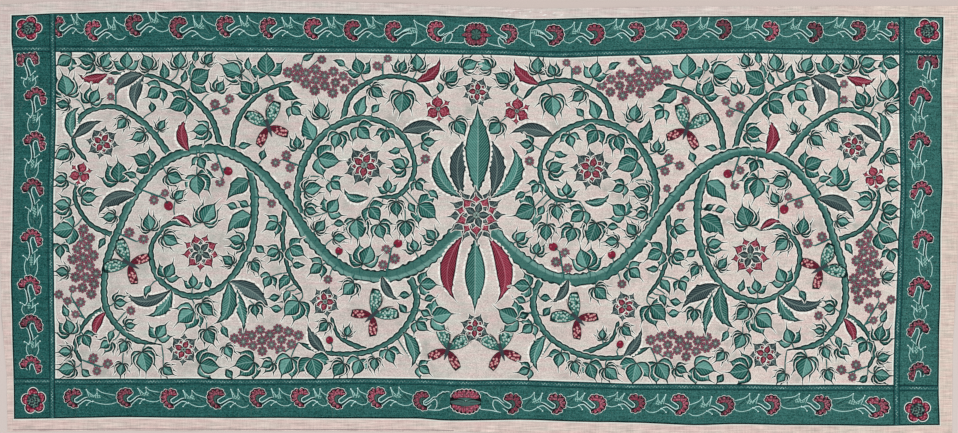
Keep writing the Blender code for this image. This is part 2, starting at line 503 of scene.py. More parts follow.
def layFan(spot, kind, seed, parted, stretch):
    shape, fan, scale = fanShapes[kind], fans, (stretch, fanShapes[kind]["high"])
    reader, bumps = spotReader(spot, fan["reach"]), fan["bumps"]
    cuts = shape.get("cuts", fan["cuts"]) if parted else ()
    outer, inner, curl = shape["outer"], smoothCurve(shape["inner"], 5.0), smoothCurve(shape["curl"], 6.0)
    # the undyed outline, the black that shows in its notches, the red, and the grey-green heart
    outlines = {
        "wax": [scalloped(outer, fan["waxWidth"], fan["waxNotch"], bumps, 0.8, cuts), inner],
        "black": [scalloped(outer, 0.0, fan["blackNotch"], bumps, 0.8, cuts), inner],
        "fanRed": [scalloped(outer, -fan["redInset"], fan["notch"], bumps, 0.6)[1:-shape.get("trim", 3)],
                   inner[1:-1] + (inner[1:-1] - (4, 0)) * 0.13],
        "heart": [inner[1:-1], curl],
    }
    if "bridge" in shape:
        outlines["dullRed"] = [shape["bridge"]]
    for dye, parts in outlines.items():
        layShape(dye, placed(spot, np.vstack(parts) * scale), reader, seed)
    layStroke("black", placed(spot, curl * scale), fan["curlWidth"] * spot["size"], seed, 4.0, 0.5)
    arc = smoothCurve(outer, 3.2) * scale
    for cut in cuts:
        start = arc[int(cut * len(arc))]
        parting = placed(spot, [start * 0.93, start * 0.66, start * 0.42])
        layStroke("black", parting, fan["partingWidth"] * spot["size"], seed, 6.0, 0.6)


def onUnit(spot, kind, run, rise, points):
    # a drawing's points, stretched to reach the next flower's back
    drawing = unitDrawings[kind]
    start = drawing["stretchFrom"]
    share = (run - drawing["back"] - start) / (drawing["reach"] - start)
    points = np.array(points, float) * (1, drawing["high"])
    past = points[:, 0] > start
    points[past, 0] = start + (points[past, 0] - start) * share
    points[past | (points[:, 1] > 20), 1] *= rise
    return placed(spot, points)


def laySpray(spot, kind, run, seed, rise):
    # the lines and the leaf beyond a fan's stem
    drawing = unitDrawings[kind]
    layUnitLines(spot, kind, run, seed, drawing["lines"], rise, 8.0)
    for x, y in onUnit(spot, kind, run, rise, drawing["dots"]):
        dot = arcPoints(fans["dotRadius"], 0, 300, 6, x, y)
        layShape("waxTeal", dot, centreReader(x, y, 0, 2), seed)
    leaf = onUnit(spot, kind, run, rise, drawing["leaf"])
    layShape("hatch", leaf, centreReader(*leaf.mean(axis=0), spot["turn"] + 6 * seed, 9.0), seed)


def layUnitLines(spot, kind, run, seed, lines, rise, step, end=math.inf):
    # of a last fan's stem only the part before the end, where other lines take it on
    for dye, width, points in lines:
        line = onUnit(spot, kind, run, rise, [point for point in points if point[0] < end])
        layStroke(dye, line, fans["lineWidth"] * width, seed, step, 0.6)


# Where the flowers stand: along the run of each half of a band, and how far off its middle line
bandRuns = {
    "topLeft": {"turn": 0.0, "flip": False, "middle": 452.0, "last": -47.0, "wide": (0.88, 1.02),
                "firstWide": 0.8,
                "at": [-1031, -945, -845, -739, -624, -520, -411, -314, -216, -111],
                "off": [6, -4, 8, 2, 5, 2, 3, -1, -1, 0]},
    "topRight": {"turn": math.pi, "flip": True, "middle": 452.0, "last": 18.0, "wide": (0.88, 1.04),
                 "firstWide": 0.9, "at": [1004, 919, 813, 705, 591, 483, 378, 280, 180, 69],
                 "off": [2, 4, -1, 1, 6, 5, 3, -1, -1, -1]},
    "bottomLeft": {"turn": 0.0, "flip": False, "middle": -452.0, "last": -88.0, "wide": (0.94, 1.1),
                   "rise": 0.84,
                   "at": [-993, -866, -758, -644, -542, -438, -348, -251, -140],
                   "off": [4, 3, 2, 3, 5, 5, 2, 5, -2]},
    "bottomRight": {"turn": math.pi, "flip": True, "middle": -452.0, "last": 23.0, "wide": (0.96, 1.12),
                    "firstWide": 1.25, "rise": 0.84, "at": [978, 842, 720, 605, 495, 388, 291, 194, 85],
                    "off": [-2, 2, 3, 0, 2, 2, -2, -3, -6]},
    "left": {"turn": -math.pi / 2, "flip": False, "middle": -1094.0, "last": -452.0, "wide": (0.96, 1.04),
             "at": [384, 294, 184, 71, -52, -168, -262, -363], "off": [-11, 9, 8, 4, 3, -1, 1, -2]},
    "right": {"turn": -math.pi / 2, "flip": True, "middle": 1076.0, "last": -460.0, "wide": (1.0, 1.1),
              "at": [385, 301, 193, 75, -44, -158, -260, -364], "off": [11, -5, -8, -5, 3, -4, -2, 1]},
}


def layBandRun(name):
    # one run of flowers. The last one only has its stem: it leads to the middle, or ends at the corner.
    row, upright, units = bandRuns[name], name in ("left", "right"), []
    at, rise, sway = row["at"], row.get("rise", 1.0), fans["sway"]
    for i, (place, shift) in enumerate(zip(at, row["off"])):
        x, y = (row["middle"] + shift, place) if upright else (place, row["middle"] + shift)
        size = chance.uniform(fans["leastSize"][upright], 1.0)
        kind = "bud" if upright else "gate" if "top" in name and i == len(at) - 2 else "spray"
        run = abs((at + [row["last"]])[i + 1] - place) / size
        spot = spotAt(x, y, row["turn"] + chance.uniform(-sway, sway), size, row["flip"])
        units.append((spot, kind, run, chance.random()))
    for spot, kind, run, seed in units[:-1]:
        laySpray(spot, kind, run, seed, rise * chance.uniform(*fans["rise"]))
    for i, (spot, kind, run, seed) in enumerate(units):
        parted = i == 0 or chance.random() < fans["partedShare"][upright]
        stretch = chance.uniform(*row["wide"]) * (row.get("firstWide", 1.0) if i == 0 else 1.0)
        layFan(spot, ("bud" if i else "twin") if upright else "spray", seed, parted, stretch)
        end = math.inf if i < len(at) - 1 else fans["stemEnd"]
        layUnitLines(spot, kind, run, seed, unitDrawings[kind]["stem"], 1.0, 7.0, end)


rosette = {
    "radius": 31.0, "petals": 5, "depth": 0.29, "waxWidth": 1.7, "heart": 16.5,
    "places": [(-1099.0, 456.0, 0.63, 0.2), (1086.0, 455.0, 0.09, 0.4), (-1089.0, -455.0, -0.21, 0.6),
               (1073.0, -461.0, -0.28, 0.8)],      # and each one's turn and seed
}


def lobedOutline(radius, petals, depth, perPetal, turn=0.0):
    # round lobes about a middle, as a flower seen from above
    share = np.arange(petals * perPetal) / (petals * perPetal)
    wave = np.abs(np.sin(math.pi * petals * share))
    r = radius * (1 - depth + depth * wave ** 0.7)
    angle = 2 * math.pi * share + turn
    return np.stack([r * np.cos(angle), r * np.sin(angle)], 1)


def layCornerRosette(x, y, turn, seed):
    spot, radius, depth = spotAt(x, y, turn), rosette["radius"], rosette["depth"]
    for dye, grow, deeper, perPetal, twist in (("wax", rosette["waxWidth"], 0, 9, 0),
                                               ("black", 0, 0.02, 9, 0), ("rosetteRed", -3.2, 0.03, 8, 0.07)):
        outline = lobedOutline(radius + grow, rosette["petals"], depth + deeper, perPetal, twist)
        layShape(dye, placed(spot, outline), spotReader(spot, radius), seed)


# The double flower in the middle of the top band and of the bottom one: red parts, heart, and the lines
# that join it to the flowers at its sides
middleFlowers = {
    "top": {
        "x": -12.0, "y": 447.0, "heartReach": 27.0, "heartDye": "heart",
        "red": [
            ([(26, 7), (22, 20), (12, 26), (1.2, 26.5)], [(1.2, 14), (9, 12.5), (14, 6)], 4),
            ([(-1.2, 26.5), (-12, 26), (-22, 20), (-26, 7)], [(-14, 6), (-9, 12.5), (-1.2, 14)], 4),
            ([(-26, -9), (-22, -21), (-12, -26), (-1.2, -26.5)], [(-1.2, -14), (-9, -13), (-14, -7)], 4),
            ([(1.2, -26.5), (12, -26), (22, -21), (26, -9)], [(14, -7), (9, -13), (1.2, -14)], 4),
            ([(9, -1.5), (13, -6), (22, -6.5), (37, -2.5), (22, 4), (13, 3.5), (9, -1.5)], [], 0),
            ([(-9, -1), (-13, 4), (-22, 4.5), (-34, -2), (-22, -6.5), (-13, -6), (-9, -1)], [], 0),
        ],
        "ground": [(27, 0), (25, 16), (15, 27), (0, 28.5), (-15, 27), (-25, 16), (-27, 0), (-25, -16),
                   (-15, -27),
                   (0, -28.5), (15, -27), (25, -16), (27, 0)],
        "heart": [(13, 0), (9, 10), (0, 13), (-9, 10), (-13, 0), (-9, -11), (0, -13), (9, -11), (13, 0)],
        "wax": [[(28, 8), (25, 20), (13, 28), (0, 28.5), (-13, 28), (-25, 20), (-28, 8)],
                [(-28, -10), (-25, -21), (-13, -28.5), (0, -29), (13, -28.5), (25, -21), (28, -10)]],
        "lines": [
            ("dark", 1.7, [(-36, 19), (-47, 12), (-58, 1), (-72, -3), (-86, -12)]),
            ("dark", 1.7, [(38, 17), (48, 4), (62, -4), (78, -12)]),
            ("waxTeal", 1.0, [(-26, 19), (-34, 22), (-41, 20), (-44, 15), (-50, 13), (-53, 7), (-61, 4),
                              (-71, 0), (-81, -6)]),
            ("waxTeal", 1.0, [(25, 22), (34, 21), (38, 15), (43, 13), (46, 7), (51, 3), (65, -3), (76, -8)]),
            ("waxTeal", 1.0, [(-76, -22), (-75, -11), (-68, -2), (-59, 2), (-57, -6), (-61, -15),
                              (-66, -21)]),
            ("waxTeal", 1.0, [(74, -17), (70, -9), (59, -4), (54, -9), (55, -20), (60, -28)]),
            ("waxTeal", 0.95, [(-76, -24), (-64, -21), (-49, -21), (-34, -21), (-26, -17)]),
            ("waxTeal", 0.95, [(27, -20), (41, -25), (59, -28), (72, -32)]),
        ],
    },
    "bottom": {
        "x": -31.0, "y": -452.0, "heartReach": 64.0, "heartDye": "lens",
        "red": [
            ([(34, 8), (30, 20), (16, 26.5), (0, 27.5), (-16, 26), (-30, 20), (-34, 9)],
             [(-23, 7), (-9, 9.5), (7, 9.5), (22, 6)], 8),
            ([(-36, -10), (-30, -19), (-15, -26), (0, -28.5), (15, -27.5), (28, -20), (34, -11)],
             [(23, -9), (9, -12), (-9, -12.5), (-23, -9.5)], 8),
        ],
        "ground": [(38, 0), (34, 16), (18, 27.5), (0, 28.5), (-18, 27.5), (-34, 16), (-38, 0), (-34, -16),
                   (-18, -27.5),
                   (0, -29.5), (18, -28.5), (34, -16), (38, 0)],
        "heart": [(37, -2), (20, 5.5), (0, 9), (-20, 5.5), (-37, 0), (-34, -5), (-15, -9.5), (0, -12),
                  (15, -10),
                  (34, -6), (37, -2)],
        "wax": [[(37, 8), (32, 21), (17, 28), (0, 29), (-17, 28), (-32, 21), (-37, 10)],
                [(-38, -10), (-31, -21), (-16, -28), (0, -30.5), (16, -29.5), (30, -21.5), (36, -11)]],
        "lines": [
            ("black", 1.5, [(-36, 1), (-24, 3.5), (-12, 4.5), (-4, 2)]),
            ("black", 1.5, [(5, 2), (14, 4.5), (25, 3), (36, -1)]),
            ("charcoal", 1.3, [(-34, -3), (-20, -1), (-7, -3)]),
            ("charcoal", 1.3, [(9, -3), (20, -2), (33, -4)]),
            ("charcoal", 1.1, [(-24, -8), (0, -9), (24, -8)]),
            ("charcoal", 1.0, [(-18, 7), (-2, 8.5), (16, 7)]),
            ("black", 3.6, [(-3, 0.5), (3.5, -0.5)]), ("waxTeal", 1.4, [(-1.2, 1.5), (1.4, 0.8)]),
            ("black", 0.9, [(0, 10), (0.5, 26)]), ("black", 0.9, [(0, -13), (-0.5, -27)]),
            ("dark", 1.8, [(-45, 20), (-60, 16), (-74, 6), (-98, -10)]),
            ("dark", 1.8, [(46, 19), (58, 12), (72, 4), (94, -8)]),
            ("waxTeal", 1.0, [(-37, 21), (-45, 23), (-50, 21), (-55, 22), (-59, 19), (-66, 15), (-71, 9),
                              (-79, 8), (-88, -1), (-100, -7)]),
            ("waxTeal", 1.0, [(33, 22), (40, 23), (46, 20), (52, 19), (58, 13), (66, 9), (77, 8), (93, -5)]),
            ("waxTeal", 1.0, [(-98, -13), (-87, -5), (-75, 4), (-70, 0), (-70, -12), (-75, -21)]),
            ("waxTeal", 1.0, [(95, -13), (80, 0), (69, 2), (66, -9), (72, -21), (78, -26)]),
            ("waxTeal", 0.95, [(-38, -12), (-46, -16), (-56, -18), (-64, -22), (-93, -23)]),
            ("waxTeal", 0.95, [(32, -14), (37, -19), (52, -21), (66, -23), (86, -28)]),
            ("bandVein", 0.9, [(-66, -10), (-62, 4), (-53, 14)]),
            ("bandVein", 0.9, [(60, -10), (58, 2), (50, 12)]),
        ],
    },
}


def layMiddleFlower(name, seed):
    flower = middleFlowers[name]
    spot = spotAt(flower["x"], flower["y"])
    reader = spotReader(spot, flower["heartReach"])
    layShape("black", placed(spot, smoothCurve(flower["ground"], 8.0)[:-1]), reader, seed)
    layShape(flower["heartDye"], placed(spot, smoothCurve(flower["heart"], 7.0)[:-1]), reader, seed)
    for outer, inner, bumps in flower["red"]:
        if inner:
            outline = np.vstack([scalloped(outer, -0.4, 5.2, bumps, 0.8), inner])
        else:
            outline = smoothCurve(outer, 5.0)[:-1]
            layShape("black", placed(spot, outline * (1.06, 1.12)), reader, seed)
        layShape("fanRed", placed(spot, outline), reader, seed)
    for arc in flower["wax"]:
        spine = scalloped(arc, 0.6, 2.4, 9)
        layStrip("wax", placed(spot, spine), np.full(len(spine), 0.62), seed)
    for dye, width, points in flower["lines"]:
        layStroke(dye, placed(spot, points), fans["lineWidth"] * width, seed, 5.0, 0.55)


def layStripes():
    # the narrow stripe along the band's inner edge, which runs on through the corners to the outer one
    stripe, ends = ground["stripe"], ground["stripeEnds"]
    near, far = dict(band["inner"]), dict(band["outer"])
    for side, sign in (("left", 1), ("right", -1), ("bottom", 1), ("top", -1)):
        near[side] -= sign * stripe / 2
        far[side] += sign * ends
    layLine("stripe", far["left"], near["top"], far["right"], near["top"], stripe, 0.3)
    layLine("stripe", far["right"], near["bottom"], far["left"], near["bottom"], stripe, 0.6)
    layLine("stripe", near["left"], far["bottom"], near["left"], far["top"], stripe, 0.7)
    layLine("stripe", near["right"], far["top"], near["right"], far["bottom"], stripe, 0.5)


def layDrops():
    # small drops of wax on the margin, right of the middle of the top edge
    drops = ground["drops"]
    for _ in range(drops["count"]):
        x, y = chance.uniform(drops["left"], drops["right"]), chance.uniform(drops["bottom"], drops["top"])
        radius = chance.uniform(drops["least"], drops["most"])
        drop = placed(spotAt(x, y, chance.uniform(-0.5, 0.5)), arcPoints(radius, 0, 315, 8) * (2.4, 0.8))
        layShape("wax", drop, centreReader(x, y, 0, radius), chance.random())


def layBorder():
    layBand()
    for name in bandRuns:
        layBandRun(name)
    layMiddleFlower("top", 0.31)
    layMiddleFlower("bottom", 0.57)
    layStripes()
    for place in rosette["places"]:
        layCornerRosette(*place)
    layDrops()


# The field: a running vine that curls into scrolls, the same on both sides of the middle. Its places are
# millimetres from the middle line outwards and from the cloth's middle upwards.
field = {
    "axis": -10.0,          # the middle line
    "halfRun": 1026.0, "bottom": -401.0, "top": 397.0,
    "cell": 4.0,            # of the map that keeps motifs apart
    "leafPitch": 23.0,      # along a stem
    "leafTries": 7, "leafLength": (62, 102), "leafLean": (0.75, 1.35),
    "palmShare": 0.42, "palmStalk": 10.0,     # of the leaves, and each palm leaf's own stalk
    "frondLong": 125,       # from here on a frond has more beads
    "daisyRadius": (13.0, 15.0), "berryRadius": (9.0, 12.0), "berryShare": 0.25,    # and daisies for the rest
    "berryStart": 26, "berryPitch": 19, "berryAside": 13,     # along a stalk, and to its sides
    "stalkReach": 95,       # a sprig further from every stem than this has no stalk
    "palmSprig": 18,        # larger sprigs are palm leaves
    "halo": 1.9,            # the undyed line round every leaf, petal and stem
    "haloStart": 9.0,       # a blade has none at its foot, and all of it from here on
    "sprigRounds": ((34.0, 9000), (26.0, 9000), (20.0, 9000), (15.0, 1500)),    # radius, and places tried
}


def onSide(side, points):
    return np.array(points, float).reshape(-1, 2) * (side, 1) + (field["axis"], 0)


def sideSpot(side, x, y, turn=0.0, size=1.0):
    # a motif's spot, and on the left side its mirror image
    return spotAt(field["axis"] + side * x, y, turn if side > 0 else math.pi - turn, size, side < 0)


# A blade is a leaf, a frond or a petal: a bent spine with a toothed edge and a hair-thin tip
bladeColumns = ("width", "teeth", "tooth", "hair", "wideAt", "joints")
bladeShapes = {name: dict(zip(bladeColumns, row)) for name, row in {
    "leaf": (0.60, 4, 2.4, 0.22, 0.42, 6),
    "leafWide": (0.70, 5, 2.6, 0.18, 0.40, 6),
    "lobe": (0.62, 0, 0, 0.30, 0.44, 6),
    "bud": (0.64, 0, 0, 0.26, 0.50, 5),
    "frond": (0.22, 15, 2.8, 0.12, 0.55, 15),
    "frondShort": (0.31, 9, 2.8, 0.16, 0.50, 10),
    "petal": (0.56, 0, 0, 0.17, 0.52, 4),
    "petalSharp": (0.42, 0, 0, 0.10, 0.52, 4),
}.items()}


def bladeSpine(length, bend, joints):
    # from the origin to the right, bending more and more
    t = (np.arange(joints) + 0.5) / joints
    heading = bend * (0.35 * t + 0.65 * t ** 2) * 1.6
    steps = np.stack([np.cos(heading), np.sin(heading)], 1) * length / joints
    return np.vstack([[0, 0], np.cumsum(steps, axis=0)])


def layBlade(dye, spot, kind, length, bend, seed, width=1.0):
    # laid as two halves, so that each has its own colour
    shape, size = bladeShapes[kind], spot["size"]
    hair, teeth, full = shape["hair"], shape["teeth"], shape["width"] * length * width / 2
    spine = bladeSpine(length, bend, shape["joints"])
    across, run, bare = sideways(spine), runLength(spine) / length, field["halo"] / size

    def bodyWidth(t):
        s = np.clip(t / (1 - hair), 0, 1)
        body = full * np.sin(math.pi * s ** (math.log(0.5) / math.log(shape["wideAt"]))) ** 0.85
        return np.maximum(body, np.where(t < 0.5, 1.5, 0.35 + 1.3 * np.clip((1 - t) / hair, 0, 1)))

    def edgePoint(t, grow, side):
        return readLine(t, run, spine) + readLine(t, run, across) * ((bodyWidth(t) + grow) * side)[:, None]

    if teeth:
        # a leaf's teeth are sharp, a frond's are round beads
        start = (np.arange(teeth) + 0.35) / (teeth + 0.35) * (1 - hair)
        places, dip, tips = ((0, 0.3, 0.74), -1.2, 2) if "frond" in kind else ((0, 0.62), -0.9, 1)
        t = (start[:, None] + np.array(places) * (1 - hair) / (teeth + 0.35)).ravel()
        grow = np.tile((dip, *[shape["tooth"]] * tips), teeth) * np.minimum(1, 2.5 * np.sin(math.pi * t))
    else:
        t, grow = np.linspace(0.10, 1 - hair, 5), np.zeros(5)
    t, grow = np.concatenate([[0.0], t, [1 - hair * 0.4, 1.0]]), np.concatenate([[0.0], grow, [0.0, 0.0]])
    grow = grow + bare * np.clip(t * length * size / field["haloStart"], 0, 1)
    readSpine, half = placed(spot, edgePoint(t, -bodyWidth(t), 1)), (bodyWidth(t) + grow) * size
    for side in (1, -1):
        outline = placed(spot, np.vstack([spine, edgePoint(t, grow, side)[::-1]]))
        layPatch(dye, [outline], spineReader(readSpine, half, side), seed)


stemShape = {"knotLength": 19.0, "knotDepth": 0.26, "pointsEach": 3}


def layStem(points, widthFrom, widthTo, seed):
    # a knobbly stem, like a row of short swollen joints
    curve = smoothCurve(points, 5.0)
    run, each = runLength(curve), stemShape["pointsEach"]
    at = np.linspace(0, run[-1], max(round(run[-1] / (stemShape["knotLength"] / each)), 2) + 1)
    share, knots = at / run[-1], np.abs(np.sin(math.pi * np.arange(len(at)) / each))
    half = (widthFrom + (widthTo - widthFrom) * share) / 2 + 1.3
    half = half * (1.08 - stemShape["knotDepth"] * (1 - knots)) * (1 + 0.06 * np.sin(at / 23 + 9 * seed))
    half = np.maximum(half * np.clip((1 - share) / 0.04, 0.25, 1), 1.2) + field["halo"]
    layStrip("stem", readLine(at, run, curve), half, seed)


def layStarFlower(spot, petals, radius, dye, seed, innerDye="", innerShare=0.58, kind="petal",
                  heartShare=0.17):
    # pointed petals round a small heart, and often a ring of lesser ones over them
    width = 2 * math.sin(math.pi / petals) / bladeShapes[kind]["width"] * 0.97
    for k in (*range(0, petals, 2), *range(1, petals, 2)):
        turn = 2 * math.pi * k / petals
        x, y = placed(spot, 0.06 * radius * towards(turn))[0]
        layBlade(dye, turned(spot, turn, x=x, y=y), kind, radius * 0.94, 0.12, seed + 0.03 * k, width)
    if innerDye:
        inner = dict(spot, turn=spot["turn"] + math.pi / petals)
        layStarFlower(inner, petals, radius * innerShare, innerDye, seed, kind="petalSharp", heartShare=0)
    if heartShare:
        heart = radius * heartShare
        reader = centreReader(spot["x"], spot["y"], 0, heart * spot["size"])
        layShape("flowerHeart", placed(spot, arcPoints(heart, 0, 330, 12)), reader, seed)


def layDaisy(spot, radius, seed):
    layShape("daisy", placed(spot, lobedOutline(radius, 8, 0.20, 3)), spotReader(spot, radius), seed)


def layBerry(spot, radius, seed):
    # hangs along +x from its stalk
    oval = arcPoints(radius, 0, 335, 14) * (1.04, 0.94)
    layShape("berry", placed(spot, oval), spotReader(spot, radius), seed)


butterflyWings = {
    "wingRed": [(0, 1), (-18, 10), (-30, 26), (-20, 32), (-6, 20), (2, 2)],
    "wingGreen": [(2, 1), (14, 22), (34, 36), (42, 26), (30, 8), (4, 2)],
}


def layButterfly(spot, seed):
    # four spotted wings, a dark body and two feelers
    for side in (1, -1):
        for dye, points in butterflyWings.items():
            wing = smoothCurve(np.array(points, float) * (1, side), 9)
            middle = wing.mean(axis=0)
            rim = placed(spot, middle + (wing[:-1] - middle) * 1.16)
            layShape("darkVein", rim, spotReader(spot, 30), seed)
            layShape(dye, placed(spot, wing[:-1]), spotReader(spot, 30), seed)
        layStroke("darkVein", placed(spot, [(15, 1 * side), (30, 5 * side), (44, 16 * side)]), 2.0, seed,
                  8.0, 0.3)
    body = placed(spot, [(-20, 0), (-8, 0), (4, 0), (16, 0)])
    layStrip("charcoal", body, np.array([0.8, 3.4, 3.8, 2.0]) * spot["size"], seed)


def layPalm(spot, lobes, length, seed):
    # a leaf of three to five pointed lobes, the middle one last
    for k in sorted(range(lobes), key=lambda k: -abs(k - (lobes - 1) / 2)):
        off = k - (lobes - 1) / 2
        reach, bend = length * (1 - 0.13 * abs(off)), 0.30 * math.copysign(1, -off if off else seed - 0.5)
        layBlade("leaf", turned(spot, off * 2.3 / (lobes - 1)), "lobe", reach, bend, seed)


# The vine, its scrolls and their twigs, each with the width at its start and at its end
fieldStems = [
    (36, 13, [(18, -14), (120, -110), (215, -150), (320, -132), (400, -60), (462, 30), (540, 115), (640, 160),
              (745, 138), (822, 60), (868, -40), (900, -140), (896, -235), (842, -300), (765, -318)]),
    # scrolls
    (21, 10, [(398, -64), (432, 20), (424, 122), (366, 205), (274, 238), (186, 200), (152, 118), (186, 52),
              (250, 44)]),
    (20, 10, [(558, 126), (538, 40), (548, -70), (604, -165), (690, -200), (768, -160), (788, -80),
              (744, -22),
              (690, -30)]),
    (17, 9, [(742, 140), (800, 212), (880, 262), (958, 246), (982, 180), (946, 128)]),
    (18, 9, [(166, -136), (142, -210), (178, -288), (262, -336), (360, -338), (430, -312)]),
    # twigs
    (12, 7, [(262, -334), (330, -300), (352, -250)]),
    (14, 8, [(330, 226), (306, 296), (228, 340), (150, 330), (112, 292)]),
    (15, 8, [(598, 154), (584, 232), (530, 296), (452, 326)]),
    (15, 8, [(622, 160), (652, 240), (720, 306), (810, 342), (900, 346)]),
    (13, 8, [(874, -52), (936, -24), (972, 34), (968, 84)]),
    (12, 7, [(898, -226), (950, -262), (978, -318), (962, -362)]),
    (13, 7, [(462, 26), (470, -60), (452, -140), (420, -190)]),
]

# Flowers, listed one by one: place, petals, radius, dye, the dye of the ring inside it, and turn
fieldFlowers = [
    (276, 122, 9, 54, "petalGrey", "petalRed", 0.2), (668, -92, 9, 50, "petalRed", "petalGrey", 0.5),
    (912, 176, 8, 43, "petalGrey", "petalRed", 0.1), (366, -214, 7, 40, "petalGrey", "petalRed", 0.9),
    (96, 262, 6, 36, "petalRed", "", 0.4), (712, -330, 8, 42, "petalGrey", "petalRed", 0.0),
    (962, 100, 6, 31, "petalRed", "", 0.7),
]

# Bunches of small daisies: each one's place from the bunch's middle, then the bunches' places and turns
daisyBunch = [(-76, 6), (-58, -14), (-52, 16), (-34, -2), (-30, -27), (-27, 24), (-9, -13), (-6, 11),
              (14, -27), (14, -2),
              (17, 24), (37, -13), (39, 12), (60, -2), (60, 22), (82, 8)]
fieldBunches = [(506, -306, -0.06), (380, 330, 0.12), (950, -120, 1.45)]

# Fans of fronds, listed one by one: where they start, the middle one's heading and the spread in degrees, how
# many, their length and how much they bend
fanRows = [
    (32, 44, 58, 62, 4, 190, 0.9), (30, -48, -62, 58, 4, 185, -0.8),
    (404, -74, -22, 64, 4, 130, 0.8), (556, 134, 118, 62, 4, 135, -0.8), (700, 156, 76, 50, 3, 120, 0.8),
    (826, 48, 2, 60, 3, 115, -0.9), (600, -164, -134, 66, 4, 130, 0.8), (740, -184, -52, 56, 4, 120, 0.8),
    (174, -288, -172, 76, 4, 120, 0.8), (184, 204, 146, 66, 4, 125, 0.9), (812, 342, -30, 50, 3, 105, -0.8),
    (900, -240, -8, 60, 3, 95, -0.8), (364, -338, 40, 50, 3, 90, 0.7), (150, 330, 165, 60, 3, 95, -0.8),
    (262, 44, 10, 60, 3, 80, 0.8), (690, -28, 30, 50, 3, 75, -0.8), (984, 186, 100, 70, 3, 100, 0.8),
    (226, -150, -80, 40, 3, 100, -0.6), (900, 344, 0, 60, 3, 90, 0.7),
]
frondDyes = ["frondGreen", "frondRed", "frondGreen", "frondGrey", "frondGreen", "frondGrey", "frondGrey"]

# Sprays of berries: where the stalk starts, its heading in degrees and how many. Then butterflies and turns.
berryRows = [
    (426, 118, 20, 4), (150, 122, 170, 4), (216, -150, 100, 4), (320, -134, 60, 3), (480, 52, 160, 3),
    (820, 62, 200, 4), (870, -44, 205, 3), (786, -90, 0, 3), (640, 162, 250, 4), (540, 44, 185, 3),
    (950, -260, 60, 4), (352, -336, 110, 3), (660, 250, 160, 4), (880, 262, 90, 3), (230, 340, 90, 3),
    (962, -355, 200, 3),
]
butterflySpots = [(508, 214, 1.2), (250, -246, 2.4), (840, -120, 0.5), (66, -330, 1.9)]


class SpaceMap:
    # remembers where the right half of the field is already drawn on
    def __init__(self):
        self.cell, self.reach = field["cell"], field["halfRun"]
        self.bottom, self.top = field["bottom"], field["top"]
        self.taken = np.zeros((int((self.top - self.bottom) / self.cell), int(self.reach / self.cell)), bool)
        self.y, self.x = [(np.arange(count) + 0.5) * self.cell for count in self.taken.shape]
        self.y = self.y + self.bottom

    def windows(self, points, radii):
        for (x, y), radius in zip(points, np.broadcast_to(radii, len(points))):
            low, up = int((y - radius - self.bottom) / self.cell), int((y + radius - self.bottom) / self.cell)
            rows = slice(max(low, 0), up + 1)
            columns = slice(max(int((x - radius) / self.cell), 0), int((x + radius) / self.cell) + 1)
            inside = (self.x[columns][None] - x) ** 2 + (self.y[rows][:, None] - y) ** 2 <= radius * radius
            yield x, y, radius, (rows, columns), inside

    def claim(self, points, radii):
        for _, _, _, window, inside in self.windows(points, radii):
            self.taken[window] |= inside

    def free(self, points, radii, margin=7.0):
        for x, y, radius, window, inside in self.windows(points, radii):
            edge = margin + radius * 0.6
            within = edge - radius * 0.1 < x < self.reach - edge and self.bottom + edge < y < self.top - edge
            if not within or (self.taken[window] & inside).any():
                return False
        return True


space = SpaceMap()
fieldPlan = []      # what is drawn on both sides, lowest first: functions that are told the side


def planBlade(dye, kind, x, y, turn, length, bend):
    seeds = {1: chance.random(), -1: chance.random()}

    def draw(side):
        spot = sideSpot(side, x, y, turn + 0.06 * (seeds[side] - 0.5), 0.97 + 0.06 * seeds[side])
        layBlade(dye, spot, kind, length, bend, seeds[side])

    fieldPlan.append(draw)


def planStalk(points, width, seed, step=9.0, taper=0.8, lowest=False):
    fieldPlan.insert(0 if lowest else len(fieldPlan),
                     lambda side: layStroke("stemThin", onSide(side, points), width, seed, step, taper))


def bladePath(kind, x, y, turn, length, bend, width=1.0):
    # the discs that a blade covers, for the map
    spine = placed(spotAt(x, y, turn), bladeSpine(length, bend, 6))
    share = np.linspace(0, 1, 7)
    radius = np.maximum(bladeShapes[kind]["width"] * length * width / 2 * np.sin(math.pi * share ** 0.8), 2.0)
    return spine, radius


def claimStems():
    for widthFrom, widthTo, points in fieldStems:
        spine = smoothCurve(points, 9.0)
        share = np.linspace(0, 1, len(spine))
        space.claim(spine, (widthFrom + (widthTo - widthFrom) * share) / 2 + 2.0)


def layStems():
    for side in (1, -1):
        for number, (widthFrom, widthTo, points) in enumerate(reversed(fieldStems)):
            layStem(onSide(side, points), widthFrom, widthTo, 0.13 * number + 0.05 * side)


def planFronds():
    for number, (x, y, heading, spread, count, fanLength, fanBend) in enumerate(fanRows):
        for k in range(count):
            share = k / (count - 1) - 0.5
            turn = math.radians(heading + spread * share)
            length = fanLength * chance.uniform(0.92, 1.16) * (1 - 0.3 * abs(share))
            bend = fanBend * (0.55 + 0.9 * chance.random())
            kind = "frond" if length > field["frondLong"] else "frondShort"
            path, radius = bladePath(kind, x, y, turn, length, bend)
            if space.free(path[3:], radius[3:] * 0.8, 2.0):
                planBlade(frondDyes[(3 * k + 2 * number) % 7], kind, x, y, turn, length, bend)
                space.claim(path, radius + 2)


